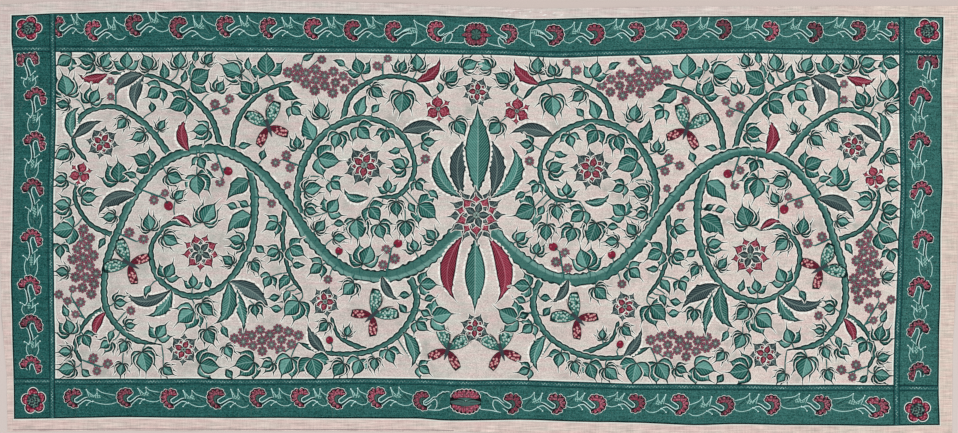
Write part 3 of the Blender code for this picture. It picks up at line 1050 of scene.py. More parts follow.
def planFlowers():
    for number, (x, y, petals, radius, dye, inner, turn) in enumerate(fieldFlowers):
        space.claim([(x, y)], radius * 0.98)
        given = (petals, radius, dye, 0.11 * number, inner)

        def draw(side, place=(x, y, turn), given=given):
            petals, radius, dye, seed, inner = given
            layStarFlower(sideSpot(side, *place), petals, radius, dye, seed + 0.02 * side, inner)

        fieldPlan.append(draw)
    for x, y, turn in fieldBunches:
        spots = placed(spotAt(x, y, turn), daisyBunch)
        space.claim(spots, 15.0)
        sizes = [chance.uniform(*field["daisyRadius"]) for _ in spots]
        for (x, y), size in zip(spots, sizes):
            planDaisy(x, y, size, chance.random(), 3)


def planDaisy(x, y, size, seed, twist):
    fieldPlan.append(lambda side: layDaisy(sideSpot(side, x, y, twist * seed), size, seed))


def planBerries():
    for x, y, heading, count in berryRows:
        start, rows = spotAt(x, y, math.radians(heading)), []
        for k in range(count):
            out = field["berryStart"] + field["berryPitch"] * k
            aside = field["berryAside"]
            foot, at = placed(start, [(out - aside, 0), (out, aside if k % 2 else -aside)])
            radius = chance.uniform(*field["berryRadius"])
            if space.free([at], radius + 1, 4):
                rows.append((at, foot, radius, chance.random()))
                space.claim([at], radius + 2.5)
        if not rows:
            continue
        stalk = np.array([(x, y), rows[-1][1]], float)
        space.claim(smoothCurve(stalk, 6.0), 3.0)
        planStalk(stalk, 4.6, 0.4)
        for at, foot, radius, seed in rows:
            planStalk([foot, at], 3.2, seed)
        for at, foot, radius, seed in rows:
            planBerry(*at, math.atan2(at[1] - foot[1], at[0] - foot[0]), radius, seed)


def planBerry(x, y, turn, radius, seed):
    lay, size = (layBerry, radius) if seed < field["berryShare"] else (layDaisy, radius + 1.5)
    fieldPlan.append(lambda side: lay(sideSpot(side, x, y, turn), size, seed))


def planButterfly(x, y, turn):
    space.claim([(x, y)], 54.0)
    fieldPlan.append(lambda side: layButterfly(sideSpot(side, x, y, turn, 1.25), 0.3 + 0.2 * side))


def planPalm(x, y, turn, lobes, length):
    seeds = {1: chance.random(), -1: chance.random()}
    fieldPlan.append(lambda side: layPalm(sideSpot(side, x, y, turn), lobes, length, seeds[side]))


def planLeaves():
    # leaves along every stem, first on one side and then on the other, wherever there is room
    for widthFrom, widthTo, points in fieldStems:
        spine = smoothCurve(points, 4.0)
        run, normal = runLength(spine), sideways(spine)
        place, side = field["leafPitch"] * 0.6, 1
        while place < run[-1]:
            k = int(np.searchsorted(run, place))
            half = (widthFrom + (widthTo - widthFrom) * place / run[-1]) / 2
            for tries in range(field["leafTries"]):
                lean = chance.uniform(*field["leafLean"])
                turn = math.atan2(-normal[k][0], normal[k][1]) + side * lean
                length = chance.uniform(*field["leafLength"]) * (1 - 0.07 * tries)
                base, heading = spine[k] + normal[k] * side * (half - 1), towards(turn)
                palm = chance.random() < field["palmShare"]
                start = base + (field["palmStalk"] if palm else 0.0) * heading
                bend = -side * chance.uniform(0.2, 0.8)
                kind = chance.choice(["leaf", "leafWide", "leaf"])
                covered = ("leafWide", 1.3) if palm else (kind, 1.0)
                path, radius = bladePath(covered[0], *start, turn, length, bend, covered[1])
                if space.free(path[2:], radius[2:] + 0.5):
                    space.claim(path, radius)
                    if palm:
                        planStalk(np.array([base - 3 * heading, start]), 4.0, 0.3, 8.0, 0.9)
                        planPalm(*start, turn, chance.choice([3, 3, 4, 5]), length)
                    else:
                        planBlade("leaf", kind, *start, turn, length, bend)
                    break
                side = -side
            side = -side
            place += field["leafPitch"] * chance.uniform(0.8, 1.2)


def planSprigs():
    # what is still bare gets small leaves, buds and daisies on thin stalks from the nearest stem
    stems = np.vstack([smoothCurve(points, 6.0) for _, _, points in fieldStems])
    rows, columns = np.nonzero(~space.taken)
    cells = list(zip(space.x[columns].tolist(), space.y[rows].tolist()))
    chance.shuffle(cells)
    tried = [(radius, cell) for radius, tries in field["sprigRounds"] for cell in cells[:tries]]
    for radius, (x, y) in tried:
        if not space.free([(x, y)], radius, 2.0):
            continue
        near = stems[np.argmin(((stems - (x, y)) ** 2).sum(1))]
        turn = math.atan2(y - near[1], x - near[0]) + chance.uniform(-0.7, 0.7)
        back = np.array([x, y]) - 0.75 * radius * towards(turn)
        space.claim([(x, y)], radius * 0.80)
        run = back - near
        if np.linalg.norm(run) < field["stalkReach"]:
            middle = (near + back) / 2 + np.array([-run[1], run[0]]) * chance.uniform(-0.2, 0.2)
            planStalk(np.array([near, middle, back]), 3.4, 0.5, 8.0, 0.7, True)
        if radius > field["palmSprig"]:
            planPalm(*back, turn, chance.choice([3, 4, 5, 5]), radius * 2.15)
        elif chance.random() < 0.9:
            kind = chance.choice(["leaf", "bud"])
            planBlade("leaf", kind, *back, turn, radius * 2.3, chance.uniform(-0.7, 0.7))
        else:
            planDaisy(x, y, radius * 0.8, chance.random(), 5)


def layMiddlePiece():
    # the rosette where the two vines start, and the tall palmettes above and below it
    axis = field["axis"]
    for y, length in ((50, 230), (-50, 190)):
        layBlade("frondGreen", spotAt(axis, y, math.copysign(math.pi / 2, y)), "frond", length, 0.0, 0.4,
                 1.25)
    for y in (305, -275):
        layStarFlower(spotAt(axis, y, 0.3), 8, 40, "petalGrey", 0.2, "petalRed")
    layStarFlower(spotAt(axis, 2, 0.0), 12, 74, "petalGrey", 0.5)
    layStarFlower(spotAt(axis, 2, math.pi / 10), 10, 56, "petalRed", 0.7, "petalGrey", 0.6)


def layField():
    space.claim([(0, 2)], 80.0)
    space.claim([(0, 305), (0, -275)], 44.0)
    space.claim(np.stack([np.zeros(46), np.linspace(-240, 280, 46)], 1), 18.0)
    claimStems()
    planFlowers()
    for spot in butterflySpots:
        planButterfly(*spot)
    planFronds()
    planBerries()
    planLeaves()
    planSprigs()
    layStems()
    for side in (1, -1):
        for draw in fieldPlan:
            draw(side)
    layMiddlePiece()


layGround()
layField()
print("batik panel: ground and field drawn,", len(patches), "patches")
layBorder()
print("batik panel: border drawn,", len(patches), "patches")


# Dye colours as they look on the cloth, 0 to 255
dyeColours = {
    "creamPink": (218, 198, 190), "creamPale": (212, 199, 193), "creamYellow": (219, 200, 187),
    "wax": (242, 242, 237), "waxEdge": (224, 231, 222), "halo": (238, 237, 229),
    "teal": (190, 230, 223), "tealWhite": (216, 245, 240), "fibre": (128, 166, 160),
    "stain": (150, 162, 152), "crack": (112, 140, 132),
    "greenBand": (41, 94, 90), "greenField": (60, 106, 99), "greenPale": (84, 128, 120),
    "greenDark": (3, 27, 28),
    "stripeGreen": (30, 86, 84), "stripeLine": (5, 44, 48), "stemLight": (104, 146, 138),
    "lens": (68, 104, 98),
    "heartGreen": (72, 108, 101), "heartRim": (18, 28, 33), "hatchGround": (36, 92, 86),
    "hatchLine": (168, 214, 204),
    "greyGreen": (84, 106, 102), "greyPale": (150, 170, 160), "charcoal": (58, 66, 72), "black": (12, 11, 17),
    "crimson": (108, 26, 48), "pink": (204, 112, 132), "mauve": (118, 92, 106), "dullRed": (90, 62, 74),
    "fanDeep": (94, 31, 48), "fanBright": (154, 48, 76), "fanDull": (86, 68, 74), "fanFleck": (196, 120, 136),
    "rosetteRed": (122, 31, 54), "rosetteRing": (52, 20, 36), "rosetteHeart": (60, 94, 88),
    "rosetteFleck": (136, 160, 152), "rosetteDark": (24, 24, 34),
    "daisyDark": (92, 52, 70), "daisyTip": (146, 72, 92), "daisySeam": (104, 118, 112),
    "daisyRim": (52, 46, 54),
    "daisyHeart": (98, 122, 114), "daisyEye": (176, 190, 180),
    "berryRed": (132, 32, 56), "berryCap": (46, 60, 62), "berryRim": (66, 18, 36),
}


def toLinear(colour):
    # a dye's name or its colour from 0 to 255, as a shader takes it
    channels = [c / 255 for c in dyeColours.get(colour, colour)]
    return tuple(c / 12.92 if c <= 0.04045 else ((c + 0.055) / 1.055) ** 2.4 for c in channels) + (1.0,)


class Reading:
    # a number that changes over the cloth, for plain arithmetic
    def __init__(self, make, socket):
        self.make, self.socket = make, socket

    def __add__(self, other):
        return self.make.math("ADD", self, other)

    def __sub__(self, other):
        return self.make.math("SUBTRACT", self, other)

    def __mul__(self, other):
        return self.make.math("MULTIPLY", self, other)

    def __truediv__(self, other):
        return self.make.math("DIVIDE", self, other)

    def __abs__(self):
        return self.make.math("ABSOLUTE", self)

    def zigzag(self, pitch=1.0):
        return self.make.math("PINGPONG", self, pitch)

    def ramp(self, low, high, outLow=0.0, outHigh=1.0):
        # a soft step from low to high
        feeds = {"Value": self, "From Min": low, "From Max": high, "To Min": outLow, "To Max": outHigh}
        return self.make.read("ShaderNodeMapRange", "Result", feeds, interpolation_type="SMOOTHSTEP")

    def fade(self, low, high, share=1.0):
        # the same, down to nothing
        return self.ramp(low, high, share, 0.0)


class NodeMaker:
    # short ways to place and join shader nodes
    def __init__(self, tree):
        self.tree, self.column = tree, 0

    def join(self, source, socket):
        # a source is a number, a dye, or what another node puts out
        if isinstance(source, Reading):
            source = source.socket
        if isinstance(source, str) or isinstance(source, tuple) and len(source) == 3:
            source = toLinear(source)
        if isinstance(source, (int, float, tuple)):
            socket.default_value = source
        else:
            self.tree.links.new(source, socket)

    def node(self, kind, feeds={}, **values):
        made = self.tree.nodes.new(kind)
        made.location = (180 * self.column, 0)
        self.column += 1
        for name, value in values.items():
            setattr(made, name, value)
        for name, source in feeds.items():
            self.join(source, made.inputs[name])
        return made

    def read(self, kind, out, feeds={}, **values):
        return Reading(self, self.node(kind, feeds, **values).outputs[out])

    def math(self, operation, first, second=0.0):
        return self.read("ShaderNodeMath", 0, {0: first, 1: second}, operation=operation)

    def away(self, x, y):
        # how far a point lies from its motif's middle
        return self.math("SQRT", x * x + y * y)

    def angle(self, x, y):
        return self.math("ARCTAN2", y, x)

    def mix(self, factor, first, second, blend="MIX"):
        feeds = {0: factor, 6: first, 7: second}
        return self.node("ShaderNodeMix", feeds, data_type="RGBA", blend_type=blend).outputs[2]

    def noise(self, vector, scale, detail=2.0, rough=0.5):
        feeds = {"Vector": vector, "Scale": scale, "Detail": detail, "Roughness": rough}
        return self.read("ShaderNodeTexNoise", "Fac", feeds)

    def stretch(self, vector, scale, turn=0.0):
        made = self.node("ShaderNodeMapping", {"Vector": vector})
        made.inputs["Scale"].default_value = scale
        made.inputs["Rotation"].default_value = (0, 0, turn)
        return made.outputs["Vector"]

    def split(self, vector):
        return [Reading(self, out) for out in self.node("ShaderNodeSeparateXYZ", {0: vector}).outputs]

    def place(self):
        return self.node("ShaderNodeTexCoord").outputs["Object"]


cottonSettings = {
    "roughness": 0.86,
    "threadPitch": 0.00075,     # metres
    "slubLong": 24.0,           # slubs per metre along a thread, and across the threads
    "slubAcross": 300.0,
    "weaveHeight": 0.00012,
    "creaseHeight": 0.0011,
    "greyShare": 0.016,
    "blushShares": (0.45, -0.55, -0.30),      # of red, green and blue
    # how strongly each of these shows through a finish that doesn't say
    "usual": {"Mottle": 0.2, "Stain": 0.0, "Crackle": 0.0, "Slubs": 0.8, "Grain": 0.8, "Blush": 0.0},
}


def makeCottonGroup():
    # the woven ground under every dye: slubs, threads, uneven dye, hairline cracks of the wax, fine creases
    tree = bpy.data.node_groups.new("wovenCotton", "ShaderNodeTree")
    settings, face = cottonSettings, tree.interface
    face.new_socket("Dye", in_out="INPUT", socket_type="NodeSocketColor")
    for name, value in settings["usual"].items():
        face.new_socket(name, in_out="INPUT", socket_type="NodeSocketFloat").default_value = value
    for name, kind in (("Color", "Color"), ("Roughness", "Float"), ("Normal", "Vector")):
        face.new_socket(name, in_out="OUTPUT", socket_type="NodeSocket" + kind)
    make = NodeMaker(tree)
    given, place = make.node("NodeGroupInput").outputs, make.place()

    # threads of both ways, with painted light and shade: each brighter where it lies on top; and short thick
    # slubs
    across = make.noise(make.stretch(place, (settings["slubLong"], settings["slubAcross"], 1)), 1.0, 1.2)
    along = make.noise(make.stretch(place, (settings["slubAcross"], settings["slubLong"], 1)), 1.0, 1.2)
    slubs = across * 0.72 + along * 0.28
    mottle = make.noise(place, 26.0, 4.0, 0.62)
    speck = make.noise(place, 400.0, 1.5, 0.6)
    blotch = make.noise(make.stretch(place, (1.0, 1.5, 1.0), 0.4), 7.5, 3.0, 0.6)
    # light and dark of the dye, with the threads' painted light and shade, about 1
    tone = (mottle - 0.5) * given["Mottle"] + 1.0
    tone = tone + (slubs - 0.5) * given["Slubs"] + (speck - 0.5) * given["Grain"]
    # pinkish and greenish threads and clouds
    thread = make.noise(make.stretch(place, (7.0, settings["slubAcross"] * 0.3, 1)), 1.0, 1.0)
    cloud = make.noise(place, 30.0, 2.5, 0.6)
    tint = ((thread - 0.5) * 1.2 + (blotch - 0.5) + (cloud - 0.5) * 0.9) * given["Blush"]
    shares = enumerate(settings["blushShares"])
    toned = make.node("ShaderNodeCombineColor", {channel: tone + tint * share for channel, share in shares})
    # a small share of grey takes part, so that dark dyes don't turn colourful where they are lighter
    grey = (settings["greyShare"],) * 3 + (1.0,)
    colour = make.mix(1.0, make.mix(1.0, given["Dye"], grey, "ADD"), toned.outputs[0], "MULTIPLY")
    colour = make.mix(1.0, colour, grey, "SUBTRACT")
    colour.node.clamp_result = True

    # pale fibres, which show most on the dark dyes
    fibre = make.noise(make.stretch(place, (210.0, 330.0, 1)), 1.0, 1.5, 0.6).ramp(0.48, 0.76)
    colour = make.mix(fibre * make.math("MULTIPLY", given["Grain"], 0.065), colour, "fibre")
    # dye that crept under the wax: grey-green blotches
    colour = make.mix(blotch.ramp(0.46, 0.70) * mottle.ramp(0.35, 0.62) * given["Stain"], colour, "stain")
    # hairlines where the wax cracked
    wander = make.node("ShaderNodeTexNoise", {"Vector": place, "Scale": 18.0}).outputs["Color"]
    shrink = make.node("ShaderNodeVectorMath", {0: wander, "Scale": 0.06}, operation="SCALE").outputs[0]
    bent = make.node("ShaderNodeVectorMath", {0: place, 1: shrink}, operation="ADD").outputs[0]
    feeds = {"Vector": bent, "Scale": 13.0}
    cells = make.read("ShaderNodeTexVoronoi", "Distance", feeds, feature="DISTANCE_TO_EDGE")
    colour = make.mix(cells.fade(0.0, 0.012) * blotch.ramp(0.45, 0.6) * given["Crackle"], colour, "crack")

    # threads and creases stand up as light and shade
    pitch = 2 * math.pi / settings["threadPitch"]
    x, y, _ = make.split(place)
    weave = make.math("SINE", x * pitch) * make.math("SINE", y * pitch)
    crease = make.noise(make.stretch(place, (2.2, 9.0, 1.0), 0.06), 2.0, 4.0, 0.55)
    crumple = make.noise(make.stretch(place, (1.0, 1.4, 1.0), 0.5), 14.0, 4.0, 0.6)
    height = (weave * (0.25 * settings["weaveHeight"]) + slubs * (2.2 * settings["weaveHeight"])
              + crease * settings["creaseHeight"] + crumple * (0.5 * settings["creaseHeight"]))
    bump = make.node("ShaderNodeBump", {"Strength": 0.8, "Distance": 1.0, "Height": height}).outputs["Normal"]
    rough = mottle.ramp(0.3, 0.7, settings["roughness"] - 0.05, settings["roughness"] + 0.06)
    make.node("NodeGroupOutput", {"Color": colour, "Roughness": rough, "Normal": bump})
    return tree


cottonGroup = makeCottonGroup()


def readPlace(make):
    # the three numbers of a point in its motif, the motif's own seed, and the three as a vector
    where = make.node("ShaderNodeAttribute", attribute_name="motifPlace").outputs["Vector"]
    return (*make.split(where), make.read("ShaderNodeAttribute", "Fac", attribute_name="motifSeed"), where)


def vary(make, colour, seed, amount):
    # each motif took the dye a little differently
    lighter = (seed - 0.5) * amount + 1.0
    factor = make.node("ShaderNodeCombineColor", {channel: lighter for channel in range(3)})
    return make.mix(1.0, colour, factor.outputs[0], "MULTIPLY")


def flecks(make, vector, scale, size):
    # small round dots, close together
    feeds = {"Vector": vector, "Scale": scale, "Randomness": 0.8}
    dots = make.read("ShaderNodeTexVoronoi", "Distance", feeds, voronoi_dimensions="2D")
    return dots.fade(size * 0.75, size * 1.2)


def undyedOutside(make, colour, inside):
    # the wax line round a motif
    return make.mix(inside.fade(-0.4, 0.3), colour, "halo")


def plainDye(colour):
    return lambda make: vary(make, colour, readPlace(make)[3], 0.10)


def shadedLeftToRightDye(left, right):
    # a ground with painted shade and light: darker at the left end of the cloth, lighter towards the right
    return lambda make: make.mix(make.split(make.place())[0].ramp(-1.1, 1.1), left, right)


def marginDye(make):
    # undyed, pinker towards the bottom edge and yellower at the right
    x, y, _ = make.split(make.place())
    return make.mix(x.ramp(0.4, 1.15, 0.0, 0.7), make.mix(y.fade(-0.5, 0.5), "creamPale", "creamPink"),
                    "creamYellow")


def stripeDye(make):
    # two dark lines, and between them a zigzag row of tiny wax dots
    along, aside, _, _, vector = readPlace(make)
    lines = make.math("MAXIMUM", aside.ramp(4.4, 5.4, 0.0, 0.75), aside.ramp(-4.2, -5.2))
    middle = abs(aside - (along.zigzag(4.2) - 2.1) * 0.9)
    broken = make.noise(make.stretch(vector, (0.03, 0.0, 0.0)), 1.0).ramp(0.42, 0.66, 0.22, 1.0)
    dots = middle.fade(0.7, 1.6) * broken * (along + 1.0).zigzag(2.1).ramp(0.4, 1.3)
    return make.mix(dots * 0.74, make.mix(lines, "stripeGreen", "stripeLine"), "teal")


def fanRedDye(make):
    # flecked with pink, more in some flowers than in others, and dull in places
    _, _, _, seed, vector = readPlace(make)
    dots = flecks(make, vector, 0.21, 0.33) * seed.ramp(0.05, 0.6, 0.3, 0.8)
    colour = make.mix((seed * 5.0).zigzag(), "fanDeep", "fanBright")
    colour = make.mix(make.noise(vector, 0.17).ramp(0.38, 0.60, 0.0, 0.72), colour, "fanDull")
    return vary(make, make.mix(dots, colour, "fanFleck"), seed, 0.2)


def heartDye(make):
    # grey-green, with dark rays and a dark rim where the fan's red begins
    x, y, radius, seed, _ = readPlace(make)
    rays = (make.angle(x, y) * 2.2).zigzag()
    colour = make.mix(rays.fade(0.1, 0.6, 0.8), "heartGreen", "greenDark")
    rim = (make.away(x, y) / radius).ramp(0.40, 0.52, 0.0, 0.9)
    return vary(make, make.mix(rim, colour, "heartRim"), seed, 0.2)


def hatchDye(make):
    # a pale leaf in a net of fine lines
    x, y, _, _, _ = readPlace(make)
    first, second = (x + y * 0.5).zigzag(3.0), (x * 0.5 - y).zigzag(3.0)
    net = make.math("MAXIMUM", first.fade(0.5, 1.2, 0.9), second.fade(0.5, 1.2, 0.7))
    return make.mix(net, "hatchGround", "hatchLine")


def rosetteDye(make):
    # five round lobes of flecked red parted by black, round a hatched grey-green heart
    x, y, _, _, vector = readPlace(make)
    away, heart = make.away(x, y), rosette["heart"]
    petal = (make.angle(x, y) / (math.pi / rosette["petals"])).zigzag()
    colour = make.mix(flecks(make, vector, 0.17, 0.36) * 0.85, "rosetteRed", "pink")
    colour = make.mix(petal.fade(0.04, 0.20) * 0.9, colour, "black")
    colour = make.mix(away.fade(heart + 0.4, heart + 2.2), colour, "rosetteRing")
    inside = make.mix(flecks(make, vector, 0.17, 0.28), "rosetteHeart", "rosetteFleck")
    net = flecks(make, make.stretch(vector, (0.13, 0.17, 1), 0.7), 1.0, 0.38)
    return make.mix(away.fade(heart - 0.8, heart), colour, make.mix(net, inside, "rosetteDark"))


def bladeDye(edge, low, high, vein, pitch=8.5, strength=0.6, rim=2.0, dots=0.0):
    # two halves of unlike tone, fine veins and a dark edge
    def paint(make):
        along, aside, half, seed, vector = readPlace(make)
        away = abs(aside)
        body = make.mix(aside.ramp(-0.5, 0.5) * (seed * 7.0).zigzag().ramp(0.1, 0.7), low, high)
        side = (along - away * 1.2 + seed * 9.0).zigzag(pitch / 2).fade(0.3, 1.3)
        body = make.mix(make.math("MAXIMUM", side * 0.75, away.fade(0.8, 1.7)) * strength, body, vein)
        if dots:
            body = make.mix(flecks(make, vector, 0.19, 0.32) * dots, body, vein)
        inside = half - away - along.ramp(0.0, field["haloStart"], 0.0, field["halo"])
        colour = make.mix(inside.fade(rim * 0.5, rim * 1.2), body, edge)
        return undyedOutside(make, vary(make, colour, seed, 0.22), inside)
    return paint


def stemDye(make):
    along, aside, half, seed, _ = readPlace(make)
    away = abs(aside)
    ring = (along + away * 0.5).zigzag(11.0).fade(0.5, 1.6) * half.ramp(6.0, 9.0, 0.0, 0.75)
    body = make.mix((aside - half * 0.15).ramp(-1.0, 2.5), "greenField", "stemLight")
    inside = half - away - field["halo"]
    body = make.mix(inside.fade(2.6, 4.6), make.mix(ring, body, "greenBand"), "greenDark")
    return undyedOutside(make, vary(make, body, seed, 0.12), inside)


def flowerHeartDye(make):
    x, y, radius, _, _ = readPlace(make)
    away = make.away(x, y)
    body = make.mix((make.angle(x, y) * 1.9).zigzag().ramp(0.2, 0.6), "greyGreen", "greyPale")
    return make.mix((radius - away).fade(0.8, 2.0), make.mix(away.fade(1.5, 2.6), body, "black"), "black")


def daisyDye(make):
    # eight round mauve petals, grey-green between them, and a pale eye
    x, y, radius, seed, _ = readPlace(make)
    share = make.away(x, y) / radius
    petal = (make.angle(x, y) / (math.pi / 8)).zigzag()
    body = make.mix(share.ramp(0.52, 0.74) * petal.ramp(0.25, 0.55), "daisyDark", "daisyTip")
    body = make.mix((petal * (share * 5.0)).fade(0.7, 1.4) * 0.85, body, "daisySeam")
    body = make.mix((share - petal * 0.14).ramp(0.70, 0.84), body, "daisyRim")
    body = make.mix(share.fade(0.24, 0.34), body, "daisyHeart")
    return vary(make, make.mix(share.fade(0.07, 0.16), body, "daisyEye"), seed, 0.25)


def berryDye(make):
    # red, with a dark cap at its stalk and a pale glint
    x, y, radius, seed, vector = readPlace(make)
    body = make.mix(flecks(make, vector, 0.22, 0.32) * seed.ramp(0.45, 0.55, 0.0, 0.6), "berryRed", "pink")
    body = make.mix(make.away(x - radius * 0.40, y - radius * 0.25).fade(0.8, 2.4, 0.8), body, "pink")
    body = make.mix((x / radius + abs(y / radius) * 0.8).fade(-0.50, -0.34), body, "berryCap")
    return vary(make, make.mix((radius - make.away(x, y)).fade(0.7, 2.0), body, "berryRim"), seed, 0.15)


def wingDye(low, high):
    def paint(make):
        x, y, _, _, vector = readPlace(make)
        body = make.mix((make.angle(x, y) * 5.0).zigzag().fade(0.1, 0.4, 0.9), low, "greenDark")
        return make.mix(flecks(make, vector, 0.14, 0.34) * make.away(x, y).ramp(18.0, 22.0), body, high)
    return paint


# Every finish: its own pattern, and how the cotton shows through it
finishes = {
    "margin": {"paint": marginDye, "mottle": 0.25, "stain": 0.1, "slubs": 1.2, "grain": 0.35, "blush": 0.22},
    # painted shade and light: the field is darker at the left end and lighter at the right
    "field": {"paint": shadedLeftToRightDye((207, 197, 191), (220, 204, 196)), "mottle": 0.3, "stain": 0.7,
              "crackle": 0.25,
              "slubs": 0.4, "grain": 1.3, "blush": 0.32},
    "wax": {"paint": plainDye("wax"), "mottle": 0.1, "slubs": 0.3, "grain": 0.3},
    "waxEdge": {"paint": plainDye("waxEdge"), "mottle": 0.1, "slubs": 0.6, "grain": 0.3},
    "selvedge": {"paint": plainDye("mauve"), "mottle": 0.6},
    # painted shade and light: the band is darker at the left end and lighter at the right
    "bandGreen": {"paint": shadedLeftToRightDye((31, 87, 84), (48, 100, 95)), "mottle": 0.3, "crackle": 0.3,
                  "slubs": 1.5,
                  "grain": 2.7, "blush": -0.1},
    "stripe": {"paint": stripeDye, "mottle": 0.4, "slubs": 1.4, "grain": 1.5},
    "dark": {"paint": plainDye("greenDark"), "mottle": 0.3},
    "black": {"paint": plainDye("black")},
    "teal": {"paint": plainDye("teal"), "slubs": 0.5},
    "waxTeal": {"paint": plainDye("tealWhite"), "slubs": 0.4},
    "bandVein": {"paint": plainDye("greenPale")},
    "fanRed": {"paint": fanRedDye, "mottle": 0.5},
    "heart": {"paint": heartDye, "mottle": 0.4},
    "dullRed": {"paint": plainDye("dullRed"), "mottle": 0.8, "grain": 2.0},
    "lens": {"paint": plainDye("lens"), "mottle": 0.4},
    "hatch": {"paint": hatchDye, "mottle": 0.3},
    "rosetteRed": {"paint": rosetteDye, "mottle": 0.4},
    "leaf": {"mottle": 0.35,
            "paint": bladeDye((4, 34, 34), (30, 92, 84), (96, 150, 140), (150, 194, 186), rim=5.0)},
    "stem": {"paint": stemDye, "mottle": 0.35},
    "stemThin": {"paint": plainDye("greenBand"), "mottle": 0.3},
    "frondGreen": {"mottle": 0.35, "paint": bladeDye((4, 32, 33), (32, 92, 84), (68, 126, 117),
                                                     (160, 200, 192), 7.5, 0.62, 5.0)},
    "frondRed": {"mottle": 0.35,
                "paint": bladeDye((50, 8, 26), (116, 24, 46), (136, 40, 62), (200, 122, 138), 7.0, 0.6, 4.4)},
    "frondGrey": {"mottle": 0.35,
                 "paint": bladeDye((8, 22, 26), (44, 64, 68), (72, 94, 94), (136, 156, 150), 7.0, 0.6, 4.4)},
    "petalRed": {"mottle": 0.4, "paint": bladeDye((40, 8, 22), (118, 24, 46), (138, 38, 60), (204, 122, 138),
                                                  6.5, 0.25, 3.6, 0.5)},
    "petalGrey": {"mottle": 0.35,
                 "paint": bladeDye((8, 18, 22), (40, 58, 62), (64, 86, 88), (132, 152, 146), 7.0, 0.55, 3.4)},
    "flowerHeart": {"paint": flowerHeartDye},
    "daisy": {"paint": daisyDye, "mottle": 0.3},
    "berry": {"paint": berryDye, "mottle": 0.3},
    "wingRed": {"paint": wingDye("crimson", (220, 160, 160))},
    "wingGreen": {"paint": wingDye((60, 118, 108), (180, 206, 196))},
    "darkVein": {"paint": plainDye("greenDark")},
    "charcoal": {"paint": plainDye("charcoal")},
}


def makeFinish(name):
    finish = finishes[name]
    material = bpy.data.materials.new(name)
    material.use_nodes = True
    tree = material.node_tree
    make, shader = NodeMaker(tree), tree.nodes["Principled BSDF"]
    for socket, value in (("Specular IOR Level", 0.08), ("Sheen Weight", 0.03), ("Sheen Roughness", 0.5)):
        shader.inputs[socket].default_value = value
    strengths = {socket: finish.get(socket.lower(), usual) for socket,
                 usual in cottonSettings["usual"].items()}
    cotton = make.node("ShaderNodeGroup", {"Dye": finish["paint"](make), **strengths}, node_tree=cottonGroup)
    for out, socket in (("Color", "Base Color"), ("Roughness", "Roughness"), ("Normal", "Normal")):
        make.join(cotton.outputs[out], shader.inputs[socket])
    shader.location = (180 * make.column, 0)
    tree.nodes["Material Output"].location = (180 * make.column + 300, 0)
    return material


def crossesItself(face):
    # whether any two sides of an outline cross
    def leftOf(a, b, c):
        (x, y), (u, v) = np.moveaxis(b - a, -1, 0), np.moveaxis(c - a, -1, 0)
        return np.sign(x * v - y * u)

    following = np.roll(face, -1, axis=0)
    a, b, c, d = face[:, None], following[:, None], face[None], following[None]
    return bool(((leftOf(a, b, c) * leftOf(a, b, d) < 0) & (leftOf(c, d, a) * leftOf(c, d, b) < 0)).any())


def soundFaces(face):
    # counter-clockwise, and never crossing itself: an outline that folds over in a tight bend is cut up
    face = face[np.linalg.norm(face - np.roll(face, 1, axis=0), axis=1) > clothSettings["leastSide"]]
    parts, found = [face] if len(face) > 2 else [], []
    if len(face) > 3 and crossesItself(face):
        parts = [face[list(cut)] for cut in tessellate_polygon([[Vector((x, y, 0)) for x, y in face]])]
    for part in parts:
        x, y = part.T
        area = (x * np.roll(y, -1) - np.roll(x, -1) * y).sum() / 2
        if abs(area) > clothSettings["leastArea"]:
            found.append(part if area > 0 else part[::-1])
    return found


def foldPoints():
    # points all over the cloth, close enough to carry its folds
    wide, high, step = clothSettings["halfLength"], clothSettings["halfWidth"], clothSettings["foldStep"]
    columns, rows = round(2 * wide / step), round(2 * high / step)
    i, j = np.meshgrid(np.arange(1, columns), np.arange(1, rows))
    x, y = -wide + 2 * wide * (i + 0.25 * (j % 2)) / columns, -high + 2 * high * j / rows
    found = [np.stack([x.ravel(), y.ravel()], 1)]
    # and five lines of points along each fine crease
    for fromX, fromY, toX, toY, halfWidth, _ in creaseRows:
        spine = smoothCurve([(fromX, fromY), (toX, toY)], 9.0)
        found += [spine + sideways(spine) * halfWidth * aside for aside in (-1, -0.5, 0, 0.5, 1)]
    points = np.vstack(found)
    return points[(np.abs(points) < (wide - 2, high - 2)).all(1)]


def cutPatches():
    # every outline in one flat triangulation. The highest patch wins a face.
    points, faces, owner, boxes = [], [], [], []
    for number, patch in enumerate(patches):
        for face in patch["faces"]:
            for part in soundFaces(np.asarray(face, float)):
                start = len(points)
                points.extend(map(tuple, part))
                faces.append(list(range(start, start + len(part))))
                owner.append(number)
                boxes.append((*part.min(axis=0), *part.max(axis=0)))
    made = delaunay_2d_cdt([Vector(p) for p in points], [], faces, 1, clothSettings["mergeWithin"], True)
    flat = np.array([tuple(v) for v in made[0]], float)
    seen, top = [], []
    for face, sources in zip(made[2], made[5]):
        x, y = flat[face].mean(axis=0)
        # a face with a flaw in its outline can spill over, so none counts outside its own box
        found = [owner[s] for s in sources if boxes[s][0] < x < boxes[s][2] and boxes[s][1] < y < boxes[s][3]]
        if found:
            seen.append(face)
            top.append(max(found))
    return flat, np.array(seen, np.int64), np.array(top, np.int64)


def sidesOf(corners):
    return np.concatenate([corners[:, [0, 1]], corners[:, [1, 2]], corners[:, [2, 0]]])


